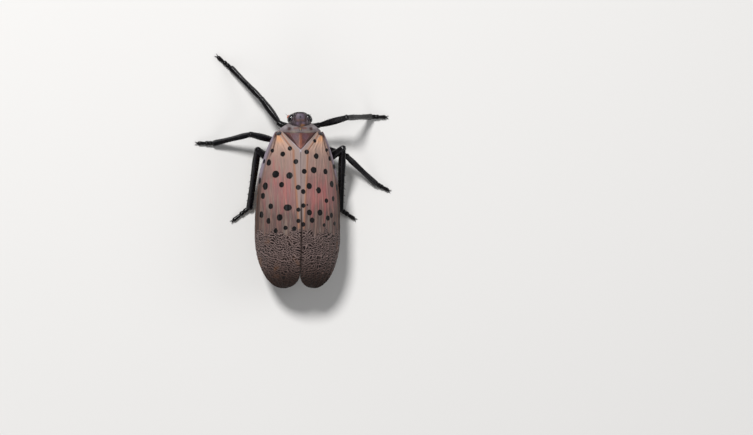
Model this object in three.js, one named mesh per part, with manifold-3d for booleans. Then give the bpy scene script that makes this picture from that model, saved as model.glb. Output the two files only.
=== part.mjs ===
// A spotted lanternfly: an adult female, life size, standing at rest with her wings folded like a roof.
// Units are millimetres. +Z is up, the head points to -Y and the insect's left side is +X.
// The body is modelled about its own middle plane, x = 0, and the whole insect is centred at the end.
import * as THREE from 'three';
import { mergeVertices } from 'three/addons/utils/BufferGeometryUtils.js';
import Module from 'manifold-3d';

const wasm = await Module();
wasm.setup();

// Clear space between pieces that meet.
const GAP = 0.28;
const QUARTER_TURN = Math.PI / 2;

// Power that squares the body's rounded sections a little.
const SQUARENESS = 0.86;

// Folded forewings. Stations are places along the body, heights are above the floor.
const FOREWING = {
  front: -5.35,
  widest: 9.5,
  tip: 17.2,
  frontHalfWidth: 3.45,
  halfWidth: 6.15,
  frontTaper: 2.9,
  tipOffset: 2.2,
  notchStart: 15.2,
  seam: 0.15,
  roofPitch: 0.22,
  thickness: 0.5,
  veinHeight: 0.2,
  veinReach: 0.016,
  frontRowShare: 0.55,
  tipTurn: 0.93,
};
const ridgeHeight = curveThrough([
  [-5.4, 9.3], [-2.6, 9.7], [3, 10.4], [9, 11.0], [12, 10.5], [14.8, 9.1], [16.3, 7.7], [17.2, 6.5],
]);
const edgeHeight = curveThrough([
  [-5.4, 7.0], [-4.6, 6.8], [-0.2, 5.3], [5.7, 4.4], [8.5, 4.1], [12.2, 4.1], [14.6, 4.5], [16.1, 5.1],
  [17.2, 6.1],
]);

// Veins of a forewing, from its inner margin (0) to its front margin (1), at the root and at the tip,
// and the share of the wing's length at which each starts and ends.
const VEINS = [
  { root: 0.17, tip: 0.035, starts: 0, ends: 0.64 },
  { root: 0.3, tip: 0.2, starts: 0, ends: 1 },
  { root: 0.37, tip: 0.35, starts: 0.4, ends: 1 },
  { root: 0.46, tip: 0.48, starts: 0, ends: 1 },
  { root: 0.54, tip: 0.62, starts: 0.48, ends: 1 },
  { root: 0.66, tip: 0.75, starts: 0, ends: 1 },
  { root: 0.84, tip: 0.88, starts: 0, ends: 1 },
];

// Folded hindwings lie inside the roof of the forewings, narrow at the root and rounded at the rear.
const HINDWING = {
  front: -2.2,
  rear: 14.2,
  innerAngle: 0.2,
  outerAngle: 1.5,
  depth: 0.86,
  thickness: 0.5,
  folds: 5,
  foldHeight: 0.1,
  middleAngle: 0.8,
  rootSpread: 0.35,
  rootGrowth: 2.2,
  roundingFrom: 0.55,
  roundingOver: 0.46,
};

// Triangle of the middle segment that shows between the wings.
const SHIELD = { tip: -2.65, slope: 0.94 };

// Body stations: [place along the body, half width, top, bottom].
const HEAD = {
  stations: [
    [-8.15, 0.5, 8.98, 8.0], [-8.0, 0.9, 9.2, 7.4], [-7.7, 1.14, 9.33, 7.0], [-7.3, 1.32, 9.4, 6.5],
    [-6.95, 1.55, 9.4, 6.3], [-6.6, 1.68, 9.36, 6.2], [-6.3, 1.45, 9.3, 6.3], [-6.1, 0.9, 9.2, 6.6],
  ],
  fullness: 0.58,
  face: {
    top: 8.5, bottom: 5.5, front: -8.02, chin: -7.25, depth: 0.82, lowerDepth: 0.45,
    topHalfWidth: 1.02, bottomHalfWidth: 0.3, narrowing: 0.8, hollow: 1.6,
  },
};
const EYE = { centre: [1.24, -7.25, 8.36], radii: [0.46, 0.68, 0.53], turn: 0.56 };
const ANTENNA = {
  root: [1.1, -7.4, 7.15],
  bulb: [1.42, -7.5, 6.93],
  rootRadius: 0.2,
  radius: 0.38,
  bristle: 1.45,
  bristleWay: [0.38, -0.42, -0.82],
};
const ROSTRUM = {
  route: [[0, -7.2, 5.1], [0, -6.6, 4.2], [0, -5.4, 3.3], [0, -3.6, 2.75], [0, -1.6, 2.5]],
  radius: 0.27,
};
const COLLAR = {
  halfWidth: 3.0, top: 9.05, droop: 0.2, thickness: 0.62, rear: -5.2, flankRear: -5.3, front: -5.95,
  shoulder: 1.6, shoulderAdvance: 0.5, flankRetreat: 0.55, flankPower: 1.3, rounding: 0.985,
};
const THORAX = {
  stations: [
    [-6.05, 1.5, 8.6, 4.9], [-5.7, 2.3, 9.0, 4.3], [-5.1, 2.75, 9.36, 3.9], [-4.2, 3.2, 9.52, 3.55],
    [-3.2, 3.35, 9.66, 3.4], [-2.2, 3.2, 9.3, 3.35], [-1.4, 2.9, 8.9, 3.35], [-0.95, 2.6, 8.6, 3.45],
  ],
};
const ABDOMEN = {
  segments: 8,
  rearLip: 0.13,
  stations: [
    [-0.67, 2.5, 8.3, 3.4], [0.4, 3.0, 8.75, 2.8], [2.2, 3.35, 8.9, 2.3], [4.0, 3.2, 8.5, 2.1],
    [5.6, 2.6, 7.6, 2.0], [6.8, 1.75, 6.2, 2.0], [7.7, 1.0, 4.9, 2.2], [8.3, 0.45, 3.9, 2.6],
  ],
};

// Legs, as the points where their lengths meet, on the side given by the sign of x.
const LEGS = [
  { name: 'foreleg_left', root: [1.15, -5.8, 4.9], hip: [2.6, -6.6, 4.5], knee: [5.15, -10.2, 3.0],
    ankle: [9.35, -14.7, 0.62], toe: [11.2, -16.3, 0.3] },
  { name: 'foreleg_right', root: [-1.15, -5.8, 4.9], hip: [-3.0, -6.35, 4.1], knee: [-7.0, -7.45, 6.0],
    ankle: [-10.95, -7.75, 0.62], toe: [-13.15, -7.7, 0.3] },
  { name: 'midleg_left', root: [1.35, -3.7, 4.2], hip: [2.85, -4.05, 3.6], knee: [6.8, -5.0, 4.2],
    ankle: [11.75, -3.8, 0.62], toe: [14.05, -3.8, 0.3] },
  { name: 'midleg_right', root: [-1.35, -3.7, 4.2], hip: [-2.9, -3.5, 3.3], knee: [-7.3, -1.9, 3.2],
    ankle: [-11.75, 2.0, 0.62], toe: [-13.55, 2.95, 0.3] },
  { name: 'hindleg_left', root: [1.05, -1.7, 4.0], hip: [2.5, -0.1, 3.1], knee: [5.75, -2.75, 4.0],
    ankle: [6.65, 5.5, 0.62], toe: [8.65, 7.2, 0.3] },
  { name: 'hindleg_right', root: [-1.05, -1.7, 4.0], hip: [-2.5, -0.1, 3.1], knee: [-6.5, -3.0, 5.3],
    ankle: [-6.6, 5.8, 0.62], toe: [-8.55, 7.1, 0.3] },
];
const LEG_RADII = {
  coxa: [0.62, 0.6, 0.48],
  femur: [0.36, 0.44, 0.46, 0.42],
  tibia: [0.36, 0.38, 0.37, 0.38],
  tarsus: [0.3, 0.34, 0.28, 0.33, 0.27],
};
const SPINES = { count: 5, length: 0.75, radius: 0.17, from: 0.42, to: 0.86 };
const CLAW = { length: 0.75, radius: 0.16, spread: 0.42, drop: 0.2 };

const COLOURS = {
  forewing: [0x9c8a84, 0.62],
  hindwing: [0x8e2f24, 0.6],
  head: [0x6d6570, 0.55],
  eye: [0x15131a, 0.12],
  antenna: [0xe0552d, 0.4],
  rostrum: [0x2c2628, 0.45],
  collar: [0x9a948f, 0.6],
  thorax: [0x6d4752, 0.55],
  abdomen: [0xd9ad25, 0.5],
  leg: [0x17161a, 0.32],
};

// A smooth curve through [place, value] pairs, without overshoot and level beyond both ends.
function curveThrough(pairs) {
  const slopes = pairs.map(([x, value], i) => {
    if (i === 0 || i === pairs.length - 1) return 0;
    const before = (value - pairs[i - 1][1]) / (x - pairs[i - 1][0]);
    const after = (pairs[i + 1][1] - value) / (pairs[i + 1][0] - x);
    return before * after > 0 ? (2 * before * after) / (before + after) : 0;
  });
  return (x) => {
    const last = pairs.length - 1;
    if (x <= pairs[0][0]) return pairs[0][1];
    if (x >= pairs[last][0]) return pairs[last][1];
    const i = pairs.findIndex((pair) => pair[0] > x) - 1;
    const span = pairs[i + 1][0] - pairs[i][0];
    const t = (x - pairs[i][0]) / span;
    const rise = t * t * (3 - 2 * t);
    return pairs[i][1] * (1 - rise) + pairs[i + 1][1] * rise
      + span * (t * (1 - t) ** 2 * slopes[i] - t * t * (1 - t) * slopes[i + 1]);
  };
}

// A closed body from points and triangles, turned so that its faces point out.
function closedBody(points, triangles) {
  let volume = 0;
  for (const [a, b, c] of triangles) {
    volume += points[a].dot(new THREE.Vector3().crossVectors(points[b], points[c]));
  }
  const outward = volume < 0 ? triangles.map(([a, b, c]) => [a, c, b]) : triangles;
  const geometry = new THREE.BufferGeometry().setFromPoints(points);
  geometry.setIndex(outward.flat());
  return geometry;
}

// A closed body through rings of equal length, with a fan over each end.
function loft(rings) {
  const sides = rings[0].length;
  const points = rings.flat();
  const triangles = [];
  for (let r = 0; r + 1 < rings.length; r++) {
    for (let s = 0; s < sides; s++) {
      const a = r * sides + s;
      const b = r * sides + ((s + 1) % sides);
      triangles.push([a, b, b + sides], [a, b + sides, a + sides]);
    }
  }
  for (const [ring, start] of [[rings[0], 0], [rings.at(-1), points.length - sides]]) {
    const middle = ring.reduce((sum, p) => sum.add(p), new THREE.Vector3()).divideScalar(sides);
    const hub = points.push(middle) - 1;
    for (let s = 0; s < sides; s++) {
      const edge = [start + s, start + ((s + 1) % sides)];
      triangles.push(start === 0 ? [hub, edge[1], edge[0]] : [hub, edge[0], edge[1]]);
    }
  }
  return closedBody(points, triangles);
}

// A thin closed sheet: faceAt(row, column) gives the outer and inner point of one place on it.
// Both faces are split into triangles alike, so that they never cross.
function sheet(rows, columns, faceAt) {
  const points = [];
  for (let r = 0; r < rows; r++) {
    for (let c = 0; c < columns; c++) points.push(...faceAt(r, c));
  }
  const at = (r, c, face) => 2 * (r * columns + c) + face;
  const triangles = [];
  const quad = (a, b, c, d) => triangles.push([a, b, c], [a, c, d]);
  for (let r = 0; r + 1 < rows; r++) {
    for (let c = 0; c + 1 < columns; c++) {
      quad(at(r, c, 0), at(r, c + 1, 0), at(r + 1, c + 1, 0), at(r + 1, c, 0));
      triangles.push([at(r, c, 1), at(r + 1, c + 1, 1), at(r, c + 1, 1)]);
      triangles.push([at(r, c, 1), at(r + 1, c, 1), at(r + 1, c + 1, 1)]);
    }
    quad(at(r, 0, 0), at(r + 1, 0, 0), at(r + 1, 0, 1), at(r, 0, 1));
    quad(at(r + 1, columns - 1, 0), at(r, columns - 1, 0), at(r, columns - 1, 1), at(r + 1, columns - 1, 1));
  }
  for (let c = 0; c + 1 < columns; c++) {
    quad(at(0, c + 1, 0), at(0, c, 0), at(0, c, 1), at(0, c + 1, 1));
    quad(at(rows - 1, c, 0), at(rows - 1, c + 1, 0), at(rows - 1, c + 1, 1), at(rows - 1, c, 1));
  }
  return closedBody(points, triangles);
}

// Solids that can be joined and cut, and the way back to a geometry.
function solid(geometry) {
  const bare = geometry.index ? geometry.toNonIndexed() : geometry.clone();
  for (const name of Object.keys(bare.attributes)) if (name !== 'position') bare.deleteAttribute(name);
  const merged = mergeVertices(bare, 1e-4);
  return new wasm.Manifold(new wasm.Mesh({
    numProp: 3,
    vertProperties: new Float32Array(merged.attributes.position.array),
    triVerts: new Uint32Array(merged.index.array),
  }));
}

// The largest closed surface of a solid, as a geometry.
function geometryOf(body) {
  const pieces = body.decompose();
  const largest = pieces.reduce((best, piece) => (piece.volume() > best.volume() ? piece : best));
  const mesh = largest.getMesh();
  const geometry = new THREE.BufferGeometry();
  geometry.setAttribute('position', new THREE.BufferAttribute(new Float32Array(mesh.vertProperties), 3));
  geometry.setIndex([...mesh.triVerts]);
  return geometry;
}

function joined(geometries) {
  return geometryOf(geometries.map(solid).reduce((whole, piece) => whole.add(piece)));
}

function cutBy(geometry, cutters) {
  return geometryOf(cutters.map(solid).reduce((rest, cutter) => rest.subtract(cutter), solid(geometry)));
}

function mirrored(geometry) {
  const other = geometry.clone();
  other.scale(-1, 1, 1);
  const index = other.index.array.slice();
  for (let i = 0; i < index.length; i += 3) [index[i + 1], index[i + 2]] = [index[i + 2], index[i + 1]];
  other.setIndex([...index]);
  return other;
}

// One rounded section of the body at a station, wider above its middle when lift is more than a half.
function bodyRing([y, halfWidth, top, bottom], sides, grow = 0, lift = 0.55) {
  const middle = bottom + (top - bottom) * lift;
  return Array.from({ length: sides }, (_, s) => {
    const angle = (s / sides) * 2 * Math.PI;
    const rise = Math.cos(angle);
    const reach = (rise > 0 ? top - middle : middle - bottom) + grow;
    const x = (halfWidth + grow) * Math.sign(Math.sin(angle)) * Math.abs(Math.sin(angle)) ** SQUARENESS;
    return new THREE.Vector3(x, y, middle + reach * Math.sign(rise) * Math.abs(rise) ** SQUARENESS);
  });
}

function bodyLoft(stations, sides, grow = 0, lift = 0.55) {
  const rings = stations.map((station, i) => {
    const past = i === 0 ? -grow : i === stations.length - 1 ? grow : 0;
    return bodyRing([station[0] + past, ...station.slice(1)], sides, grow, lift);
  });
  return loft(rings);
}

// Half width of the folded wings, seen from above.
function roofHalfWidth(y) {
  const { front, widest, tip, frontHalfWidth, halfWidth, frontTaper, tipOffset } = FOREWING;
  if (y < widest) {
    return halfWidth - (halfWidth - frontHalfWidth) * ((widest - y) / (widest - front)) ** frontTaper;
  }
  const turn = Math.min((y - widest) / (tip - widest), 1);
  return tipOffset + (halfWidth - tipOffset) * Math.sqrt(1 - turn * turn);
}

// A point of the roof on the left side: angle 0 is the ridge and a quarter turn is the lower edge.
function roofPoint(y, angle) {
  const drop = ridgeHeight(y) - edgeHeight(y);
  const pitch = FOREWING.roofPitch;
  const fall = (1 - pitch) * (1 - Math.cos(angle)) + pitch * Math.sin(angle);
  return new THREE.Vector3(roofHalfWidth(y) * Math.sin(angle), y, ridgeHeight(y) - drop * fall);
}

// The same point moved out of the roof by a height, or into it by a negative one.
function roofOffset(y, angle, height) {
  const step = 0.01;
  const along = roofPoint(y + step, angle).sub(roofPoint(y - step, angle));
  const across = roofPoint(y, angle + step).sub(roofPoint(y, angle - step));
  const out = across.cross(along).normalize();
  if (out.x < 0 && out.z < 0) out.negate();
  return roofPoint(y, angle).addScaledVector(out, height);
}

// Distance of the forewing's inner margin from the middle plane.
function innerMargin(y) {
  const { seam, notchStart, tip, tipOffset } = FOREWING;
  if (y < SHIELD.tip) return seam + (SHIELD.tip - y) * SHIELD.slope;
  if (y < notchStart) return seam;
  const turn = Math.min((y - notchStart) / (tip - notchStart), 1);
  return seam + (tipOffset - seam) * (1 - Math.sqrt(1 - turn * turn));
}

// The left forewing. A plain one without veins, grown on every side, cuts what lies against it.
function forewing({ rows = 26, grow = 0, veined = true } = {}) {
  const { front, widest, tip, thickness, veinHeight, veinReach, frontRowShare, tipTurn } = FOREWING;
  const frontRows = Math.round(rows * frontRowShare);
  const stations = Array.from({ length: rows }, (_, r) => {
    if (r < frontRows) return front + (widest - front) * (r / frontRows);
    const turn = ((r - frontRows) / (rows - 1 - frontRows)) * QUARTER_TURN * tipTurn;
    return widest + (tip - widest) * Math.sin(turn);
  });
  const columns = [{ root: 0, tip: 0 }];
  if (veined) {
    for (const vein of VEINS) {
      for (const offset of [-veinReach, 0, veinReach]) {
        columns.push({ root: vein.root + offset, tip: vein.tip + offset, vein: offset === 0 ? vein : null });
      }
    }
  } else {
    for (const share of [0.2, 0.4, 0.6, 0.8]) columns.push({ root: share, tip: share });
  }
  columns.push({ root: 1, tip: 1 });
  return sheet(rows, columns.length, (r, c) => {
    const y = stations[r];
    const shareAlong = (y - front) / (tip - front);
    const column = columns[c];
    const inner = Math.asin(Math.min(innerMargin(y) / roofHalfWidth(y), 1));
    const arc = (QUARTER_TURN - inner) * roofHalfWidth(y);
    const settle = column.vein && column.vein.ends < 1 ? column.vein.ends : 1;
    const across = column.tip + (column.root - column.tip) * (1 - Math.min(shareAlong / settle, 1)) ** 1.5;
    const past = c === 0 ? -grow : c === columns.length - 1 ? grow : 0;
    const angle = inner + (QUARTER_TURN - inner) * across + past / roofHalfWidth(y);
    const ends = r === 0 ? -grow : r === rows - 1 ? grow : 0;
    const ridge = column.vein && shareAlong >= column.vein.starts && shareAlong <= column.vein.ends;
    const raised = ridge ? veinHeight * Math.min(1, arc / 6) : 0;
    const outer = roofOffset(y, angle, grow + raised);
    const innerFace = roofOffset(y, angle, -thickness - grow);
    outer.y += ends;
    innerFace.y += ends;
    return [outer, innerFace];
  });
}

// The left hindwing, folded flat under the forewing, with shallow folds along it.
function hindwing({ rows = 15, grow = 0 } = {}) {
  const { front, rear, innerAngle, outerAngle, depth, thickness, folds, foldHeight, middleAngle } = HINDWING;
  const { rootSpread, rootGrowth, roundingFrom, roundingOver } = HINDWING;
  const columns = 2 * folds + 1;
  return sheet(rows, columns, (r, c) => {
    const along = r / (rows - 1);
    const y = front + (rear - front) * Math.sin(along * QUARTER_TURN);
    const rounding = Math.sqrt(1 - (Math.max(along - roundingFrom, 0) / roundingOver) ** 2);
    const spread = rounding * Math.min(rootSpread + along * rootGrowth, 1);
    const across = c / (columns - 1);
    const angle = middleAngle + (innerAngle + (outerAngle - innerAngle) * across - middleAngle) * spread
      + (c === 0 ? -grow : c === columns - 1 ? grow : 0) / roofHalfWidth(y);
    const fold = c % 2 === 1 ? foldHeight : 0;
    const outer = roofOffset(y, angle, -depth + fold * spread + grow - foldHeight);
    const inner = roofOffset(y, angle, -depth - thickness + fold * spread - grow - foldHeight);
    const ends = r === 0 ? -grow : r === rows - 1 ? grow : 0;
    outer.y += ends;
    inner.y += ends;
    return [outer, inner];
  });
}

// A rounded limb from one point to another, its radii spread evenly along it.
function limb(from, to, radii, { sides = 8, grow = 0, tall = 1, floor = false } = {}) {
  const start = new THREE.Vector3(...from);
  const end = new THREE.Vector3(...to);
  const axis = end.clone().sub(start).normalize();
  const side = new THREE.Vector3().crossVectors(axis, new THREE.Vector3(0, 0, 1)).normalize();
  const up = new THREE.Vector3().crossVectors(side, axis);
  const length = start.distanceTo(end);
  const stations = [];
  for (const turn of [0.3, 0.95]) {
    const radius = radii[0] + grow;
    stations.push([-radius * Math.cos(turn), radius * Math.sin(turn)]);
  }
  radii.forEach((radius, i) => stations.push([(length * i) / (radii.length - 1), radius + grow]));
  for (const turn of [0.95, 0.3]) {
    const radius = radii.at(-1) + grow;
    stations.push([length + radius * Math.cos(turn), radius * Math.sin(turn)]);
  }
  const rings = stations.map(([along, radius]) => Array.from({ length: sides }, (_, s) => {
    const angle = ((s + 0.5) / sides) * 2 * Math.PI;
    const point = start.clone().addScaledVector(axis, along);
    point.addScaledVector(side, radius * Math.cos(angle));
    point.addScaledVector(up, radius * tall * Math.sin(angle));
    if (floor) point.z = Math.max(point.z, 0);
    return point;
  }));
  return loft(rings);
}

// A pointed cone of few sides, from its root along a direction.
function spike(root, direction, length, radius, sides = 5) {
  const cone = new THREE.ConeGeometry(radius, length, sides);
  cone.translate(0, length / 2, 0);
  cone.applyQuaternion(new THREE.Quaternion().setFromUnitVectors(
    new THREE.Vector3(0, 1, 0),
    direction.clone().normalize(),
  ));
  cone.translate(root.x, root.y, root.z);
  return cone;
}

// The head: a rounded skull and a face that narrows downwards to the beak.
function head(grow = 0) {
  const { top, bottom, front, chin, depth, lowerDepth } = HEAD.face;
  const { topHalfWidth, bottomHalfWidth, narrowing, hollow } = HEAD.face;
  const rows = 5;
  const face = Array.from({ length: rows }, (_, r) => {
    const share = r / (rows - 1);
    const z = top + (bottom - top) * share + (r === 0 ? grow : r === rows - 1 ? -grow : 0);
    const y = front + (chin - front) * share ** hollow;
    const halfWidth = topHalfWidth + (bottomHalfWidth - topHalfWidth) * share ** narrowing + grow;
    const halfDepth = depth + (lowerDepth - depth) * share;
    const sides = 14;
    return Array.from({ length: sides }, (_, s) => {
      const angle = (s / sides) * 2 * Math.PI;
      const reach = (halfDepth + grow) * Math.sin(angle);
      return new THREE.Vector3(halfWidth * Math.cos(angle), y + halfDepth + reach, z);
    });
  });
  return joined([bodyLoft(HEAD.stations, 18, grow, HEAD.fullness), loft(face)]);
}

function eye(side, grow = 0) {
  const ball = new THREE.SphereGeometry(1, 14, 10);
  ball.scale(...EYE.radii.map((radius) => radius + grow));
  ball.rotateZ(-EYE.turn * side);
  ball.translate(side * EYE.centre[0], EYE.centre[1], EYE.centre[2]);
  return ball;
}

// The swollen second joint of a feeler, with its short root and its bristle.
function antenna(side, grow = 0) {
  const place = ([x, y, z]) => [side * x, y, z];
  const radii = [ANTENNA.rootRadius, ANTENNA.radius];
  const bulb = limb(place(ANTENNA.root), place(ANTENNA.bulb), radii, { sides: 10, grow });
  if (grow) return bulb;
  const middle = new THREE.Vector3(...place(ANTENNA.bulb));
  const out = new THREE.Vector3(...place(ANTENNA.bristleWay));
  return joined([bulb, spike(middle, out, ANTENNA.bristle, ANTENNA.rootRadius)]);
}

// The collar lies like a saddle over the front of the body: sections along it, from flank to flank.
function collar(grow = 0) {
  const { halfWidth, top, droop, thickness, rear, flankRear, front } = COLLAR;
  const { shoulder, shoulderAdvance, flankRetreat, flankPower, rounding } = COLLAR;
  const stations = 15;
  const sides = 10;
  const height = (x) => top - droop * x * x;
  const rings = Array.from({ length: stations }, (_, i) => {
    const share = (i / (stations - 1)) * 2 - 1;
    const x = share * (halfWidth + grow);
    const taper = Math.sqrt(1 - (Math.abs(share) * rounding) ** 8);
    const slope = -2 * droop * x;
    const normal = new THREE.Vector3(-slope, 0, 1).normalize();
    const advance = shoulderAdvance * Math.min(Math.abs(x) / shoulder, 1) ** 2;
    const retreat = flankRetreat * Math.max(Math.abs(x) - shoulder, 0) ** flankPower;
    const frontEdge = front - advance + retreat;
    const rearEdge = rear + (flankRear - rear) * share * share;
    const centre = new THREE.Vector3(x, (frontEdge + rearEdge) / 2, height(x));
    const halfLength = ((rearEdge - frontEdge) / 2) * taper + grow;
    const halfThickness = (thickness / 2) * taper + grow;
    return Array.from({ length: sides }, (_, s) => {
      const angle = ((s + 0.5) / sides) * 2 * Math.PI;
      const point = centre.clone().addScaledVector(normal, halfThickness * Math.sin(angle));
      point.y += halfLength * Math.sign(Math.cos(angle)) * Math.abs(Math.cos(angle)) ** 0.6;
      return point;
    });
  });
  return loft(rings);
}

// A round rod along a route.
function rod(route, radius, grow = 0) {
  const curve = new THREE.CatmullRomCurve3(route.map((point) => new THREE.Vector3(...point)));
  const steps = 9;
  const sides = 8;
  const rings = Array.from({ length: steps + 1 }, (_, i) => {
    const along = i / steps;
    const centre = curve.getPointAt(along);
    const direction = curve.getTangentAt(along);
    const side = new THREE.Vector3(1, 0, 0);
    const up = new THREE.Vector3().crossVectors(side, direction);
    const reach = (i === steps ? radius * 0.6 : radius) + grow;
    return Array.from({ length: sides }, (__, s) => {
      const angle = ((s + 0.5) / sides) * 2 * Math.PI;
      const point = centre.clone().addScaledVector(side, reach * Math.cos(angle));
      return point.addScaledVector(up, reach * Math.sin(angle));
    });
  });
  return loft(rings);
}

// The abdomen: every segment swells to a lip at its rear edge and steps in again behind it.
function abdomen() {
  const { segments, rearLip, stations } = ABDOMEN;
  const columns = [1, 2, 3].map((column) => curveThrough(stations.map((row) => [row[0], row[column]])));
  const start = stations[0][0];
  const length = stations.at(-1)[0] - start;
  const rings = [];
  for (let segment = 0; segment < segments; segment++) {
    for (const [share, lip] of [[0.06, 0], [0.55, 0.6], [0.94, 1]]) {
      const y = start + (length * (segment + (segment === 0 && share < 0.1 ? 0 : share))) / segments;
      const [halfWidth, top, bottom] = columns.map((column) => column(y));
      const swell = rearLip * lip;
      rings.push(bodyRing([y, halfWidth + swell, top + swell, bottom - swell], 20, 0, 0.5));
    }
  }
  return loft(rings);
}

// The four lengths of one leg, each hollowed where the length before it ends.
function leg({ name, root, hip, knee, ankle, toe }) {
  const hind = name.startsWith('hind');
  const shapes = {
    coxa: (grow) => limb(root, hip, LEG_RADII.coxa, { grow }),
    femur: (grow) => limb(hip, knee, LEG_RADII.femur, { grow, tall: 1.1 }),
    tibia: (grow) => limb(knee, ankle, LEG_RADII.tibia, { grow, tall: 1.1 }),
    tarsus: (grow) => limb(ankle, toe, LEG_RADII.tarsus, { grow, tall: 1.35, floor: true }),
  };
  const pieces = {
    coxa: shapes.coxa(0),
    femur: cutBy(shapes.femur(0), [shapes.coxa(GAP)]),
    tibia: hind ? joined([shapes.tibia(0), ...shinSpines(knee, ankle)]) : shapes.tibia(0),
    tarsus: joined([shapes.tarsus(0), ...claws(ankle, toe)]),
  };
  pieces.tibia = cutBy(pieces.tibia, [shapes.femur(GAP)]);
  pieces.tarsus = cutBy(pieces.tarsus, [shapes.tibia(GAP)]);
  return { pieces, shapes };
}

// A row of spines on the outer side of a hind shin.
function shinSpines(knee, ankle) {
  const start = new THREE.Vector3(...knee);
  const end = new THREE.Vector3(...ankle);
  const axis = end.clone().sub(start).normalize();
  const outward = new THREE.Vector3(Math.sign(knee[0]), 0, 0.15);
  return Array.from({ length: SPINES.count }, (_, i) => {
    const share = SPINES.from + ((SPINES.to - SPINES.from) * i) / (SPINES.count - 1);
    const root = start.clone().lerp(end, share).addScaledVector(outward, 0.12);
    return spike(root, outward.clone().addScaledVector(axis, 0.75), SPINES.length, SPINES.radius);
  });
}

// Two claws that spread forward from the end of a foot.
function claws(ankle, toe) {
  const end = new THREE.Vector3(...toe);
  const axis = end.clone().sub(new THREE.Vector3(...ankle)).setZ(0).normalize();
  return [-1, 1].map((side) => {
    const direction = axis.clone().applyAxisAngle(new THREE.Vector3(0, 0, 1), side * CLAW.spread);
    direction.z = -CLAW.drop;
    return spike(end.clone().addScaledVector(axis, 0.05), direction, CLAW.length, CLAW.radius);
  });
}

const insect = new THREE.Group();

function add(name, geometry, [colour, roughness]) {
  const finish = new THREE.MeshStandardMaterial({ color: colour, roughness, metalness: 0 });
  const mesh = new THREE.Mesh(geometry, finish);
  mesh.name = name;
  insect.add(mesh);
}

const legs = LEGS.map((spec) => ({ name: spec.name, ...leg(spec) }));
const coxaCutters = legs.map(({ shapes }) => shapes.coxa(GAP));
const wingCutter = forewing({ rows: 12, grow: GAP, veined: false });
const hindwingCutter = hindwing({ rows: 9, grow: GAP });

const headShape = cutBy(head(), [eye(1, GAP), eye(-1, GAP), antenna(1, GAP), antenna(-1, GAP)]);
add('head', headShape, COLOURS.head);
for (const [side, word] of [[1, 'left'], [-1, 'right']]) {
  add(`eye_${word}`, joined([eye(side)]), COLOURS.eye);
  add(`antenna_${word}`, antenna(side), COLOURS.antenna);
}
add('rostrum', cutBy(rod(ROSTRUM.route, ROSTRUM.radius), [head(GAP)]), COLOURS.rostrum);
add('pronotum', cutBy(collar(), [head(GAP)]), COLOURS.collar);
const thoraxCutters = [
  collar(GAP), head(GAP), rod(ROSTRUM.route, ROSTRUM.radius, GAP),
  wingCutter, mirrored(wingCutter), hindwingCutter, mirrored(hindwingCutter), ...coxaCutters,
];
add('thorax', cutBy(bodyLoft(THORAX.stations, 22), thoraxCutters), COLOURS.thorax);
const abdomenCutters = [hindwingCutter, mirrored(hindwingCutter), ...coxaCutters];
add('abdomen', cutBy(abdomen(), abdomenCutters), COLOURS.abdomen);
const leftForewing = forewing();
const leftHindwing = hindwing();
add('forewing_left', leftForewing, COLOURS.forewing);
add('forewing_right', mirrored(leftForewing), COLOURS.forewing);
add('hindwing_left', leftHindwing, COLOURS.hindwing);
add('hindwing_right', mirrored(leftHindwing), COLOURS.hindwing);
for (const { name, pieces } of legs) {
  for (const [length, geometry] of Object.entries(pieces)) add(`${name}_${length}`, geometry, COLOURS.leg);
}

// The whole insect stands centred on the floor.
const box = new THREE.Box3().setFromObject(insect);
insect.position.set(-(box.min.x + box.max.x) / 2, -(box.min.y + box.max.y) / 2, -box.min.z);

const display = new THREE.Group();
display.add(insect);
export default display;
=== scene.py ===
import logging
import math
from dataclasses import dataclass, field
from enum import Enum
from typing import Callable, Sequence, Union

import bpy
import numpy as np
from mathutils import Matrix, Vector


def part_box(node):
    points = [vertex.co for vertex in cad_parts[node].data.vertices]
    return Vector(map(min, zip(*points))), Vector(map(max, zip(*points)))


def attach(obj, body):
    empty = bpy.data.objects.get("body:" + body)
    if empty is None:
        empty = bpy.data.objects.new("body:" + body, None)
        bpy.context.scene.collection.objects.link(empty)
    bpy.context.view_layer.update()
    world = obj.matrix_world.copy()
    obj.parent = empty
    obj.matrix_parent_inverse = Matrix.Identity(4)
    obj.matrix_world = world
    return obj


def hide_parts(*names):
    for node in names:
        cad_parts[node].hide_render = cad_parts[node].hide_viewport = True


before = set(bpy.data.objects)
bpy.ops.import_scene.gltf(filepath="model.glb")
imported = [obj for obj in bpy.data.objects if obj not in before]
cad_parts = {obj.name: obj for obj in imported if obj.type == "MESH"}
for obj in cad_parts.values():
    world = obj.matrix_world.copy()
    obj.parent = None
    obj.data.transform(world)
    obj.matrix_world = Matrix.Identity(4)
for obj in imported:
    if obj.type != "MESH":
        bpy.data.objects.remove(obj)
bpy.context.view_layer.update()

log = logging.getLogger("lanternfly")

MILLIMETRE = 0.001
QUARTER_TURN = math.pi / 2
FULL_TURN = 2 * math.pi
BOTH_SIDES = (1, -1)
Point = tuple[float, float, float]
Colour = tuple[float, float, float]
Values = Union[np.ndarray, float]
Socketed = Union[bpy.types.NodeSocket, bpy.types.Material, float, str, Sequence[float]]


class Side(Enum):
    """The insect's two sides, as the sign of x."""

    LEFT = 1
    RIGHT = -1

    @property
    def word(self) -> str:
        """The side's name, as the nodes spell it."""
        return self.name.lower()


def rgb(red: int, green: int, blue: int) -> Colour:
    """A colour given in display values, as the linear light the shaders use.

    Args:
        red: Red, 0 to 255.
        green: Green, 0 to 255.
        blue: Blue, 0 to 255.

    Returns:
        The colour in linear light.
    """
    def linear(value: int) -> float:
        """One channel in linear light."""
        share = value / 255
        return share / 12.92 if share <= 0.04045 else ((share + 0.055) / 1.055) ** 2.4

    return linear(red), linear(green), linear(blue)


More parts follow.
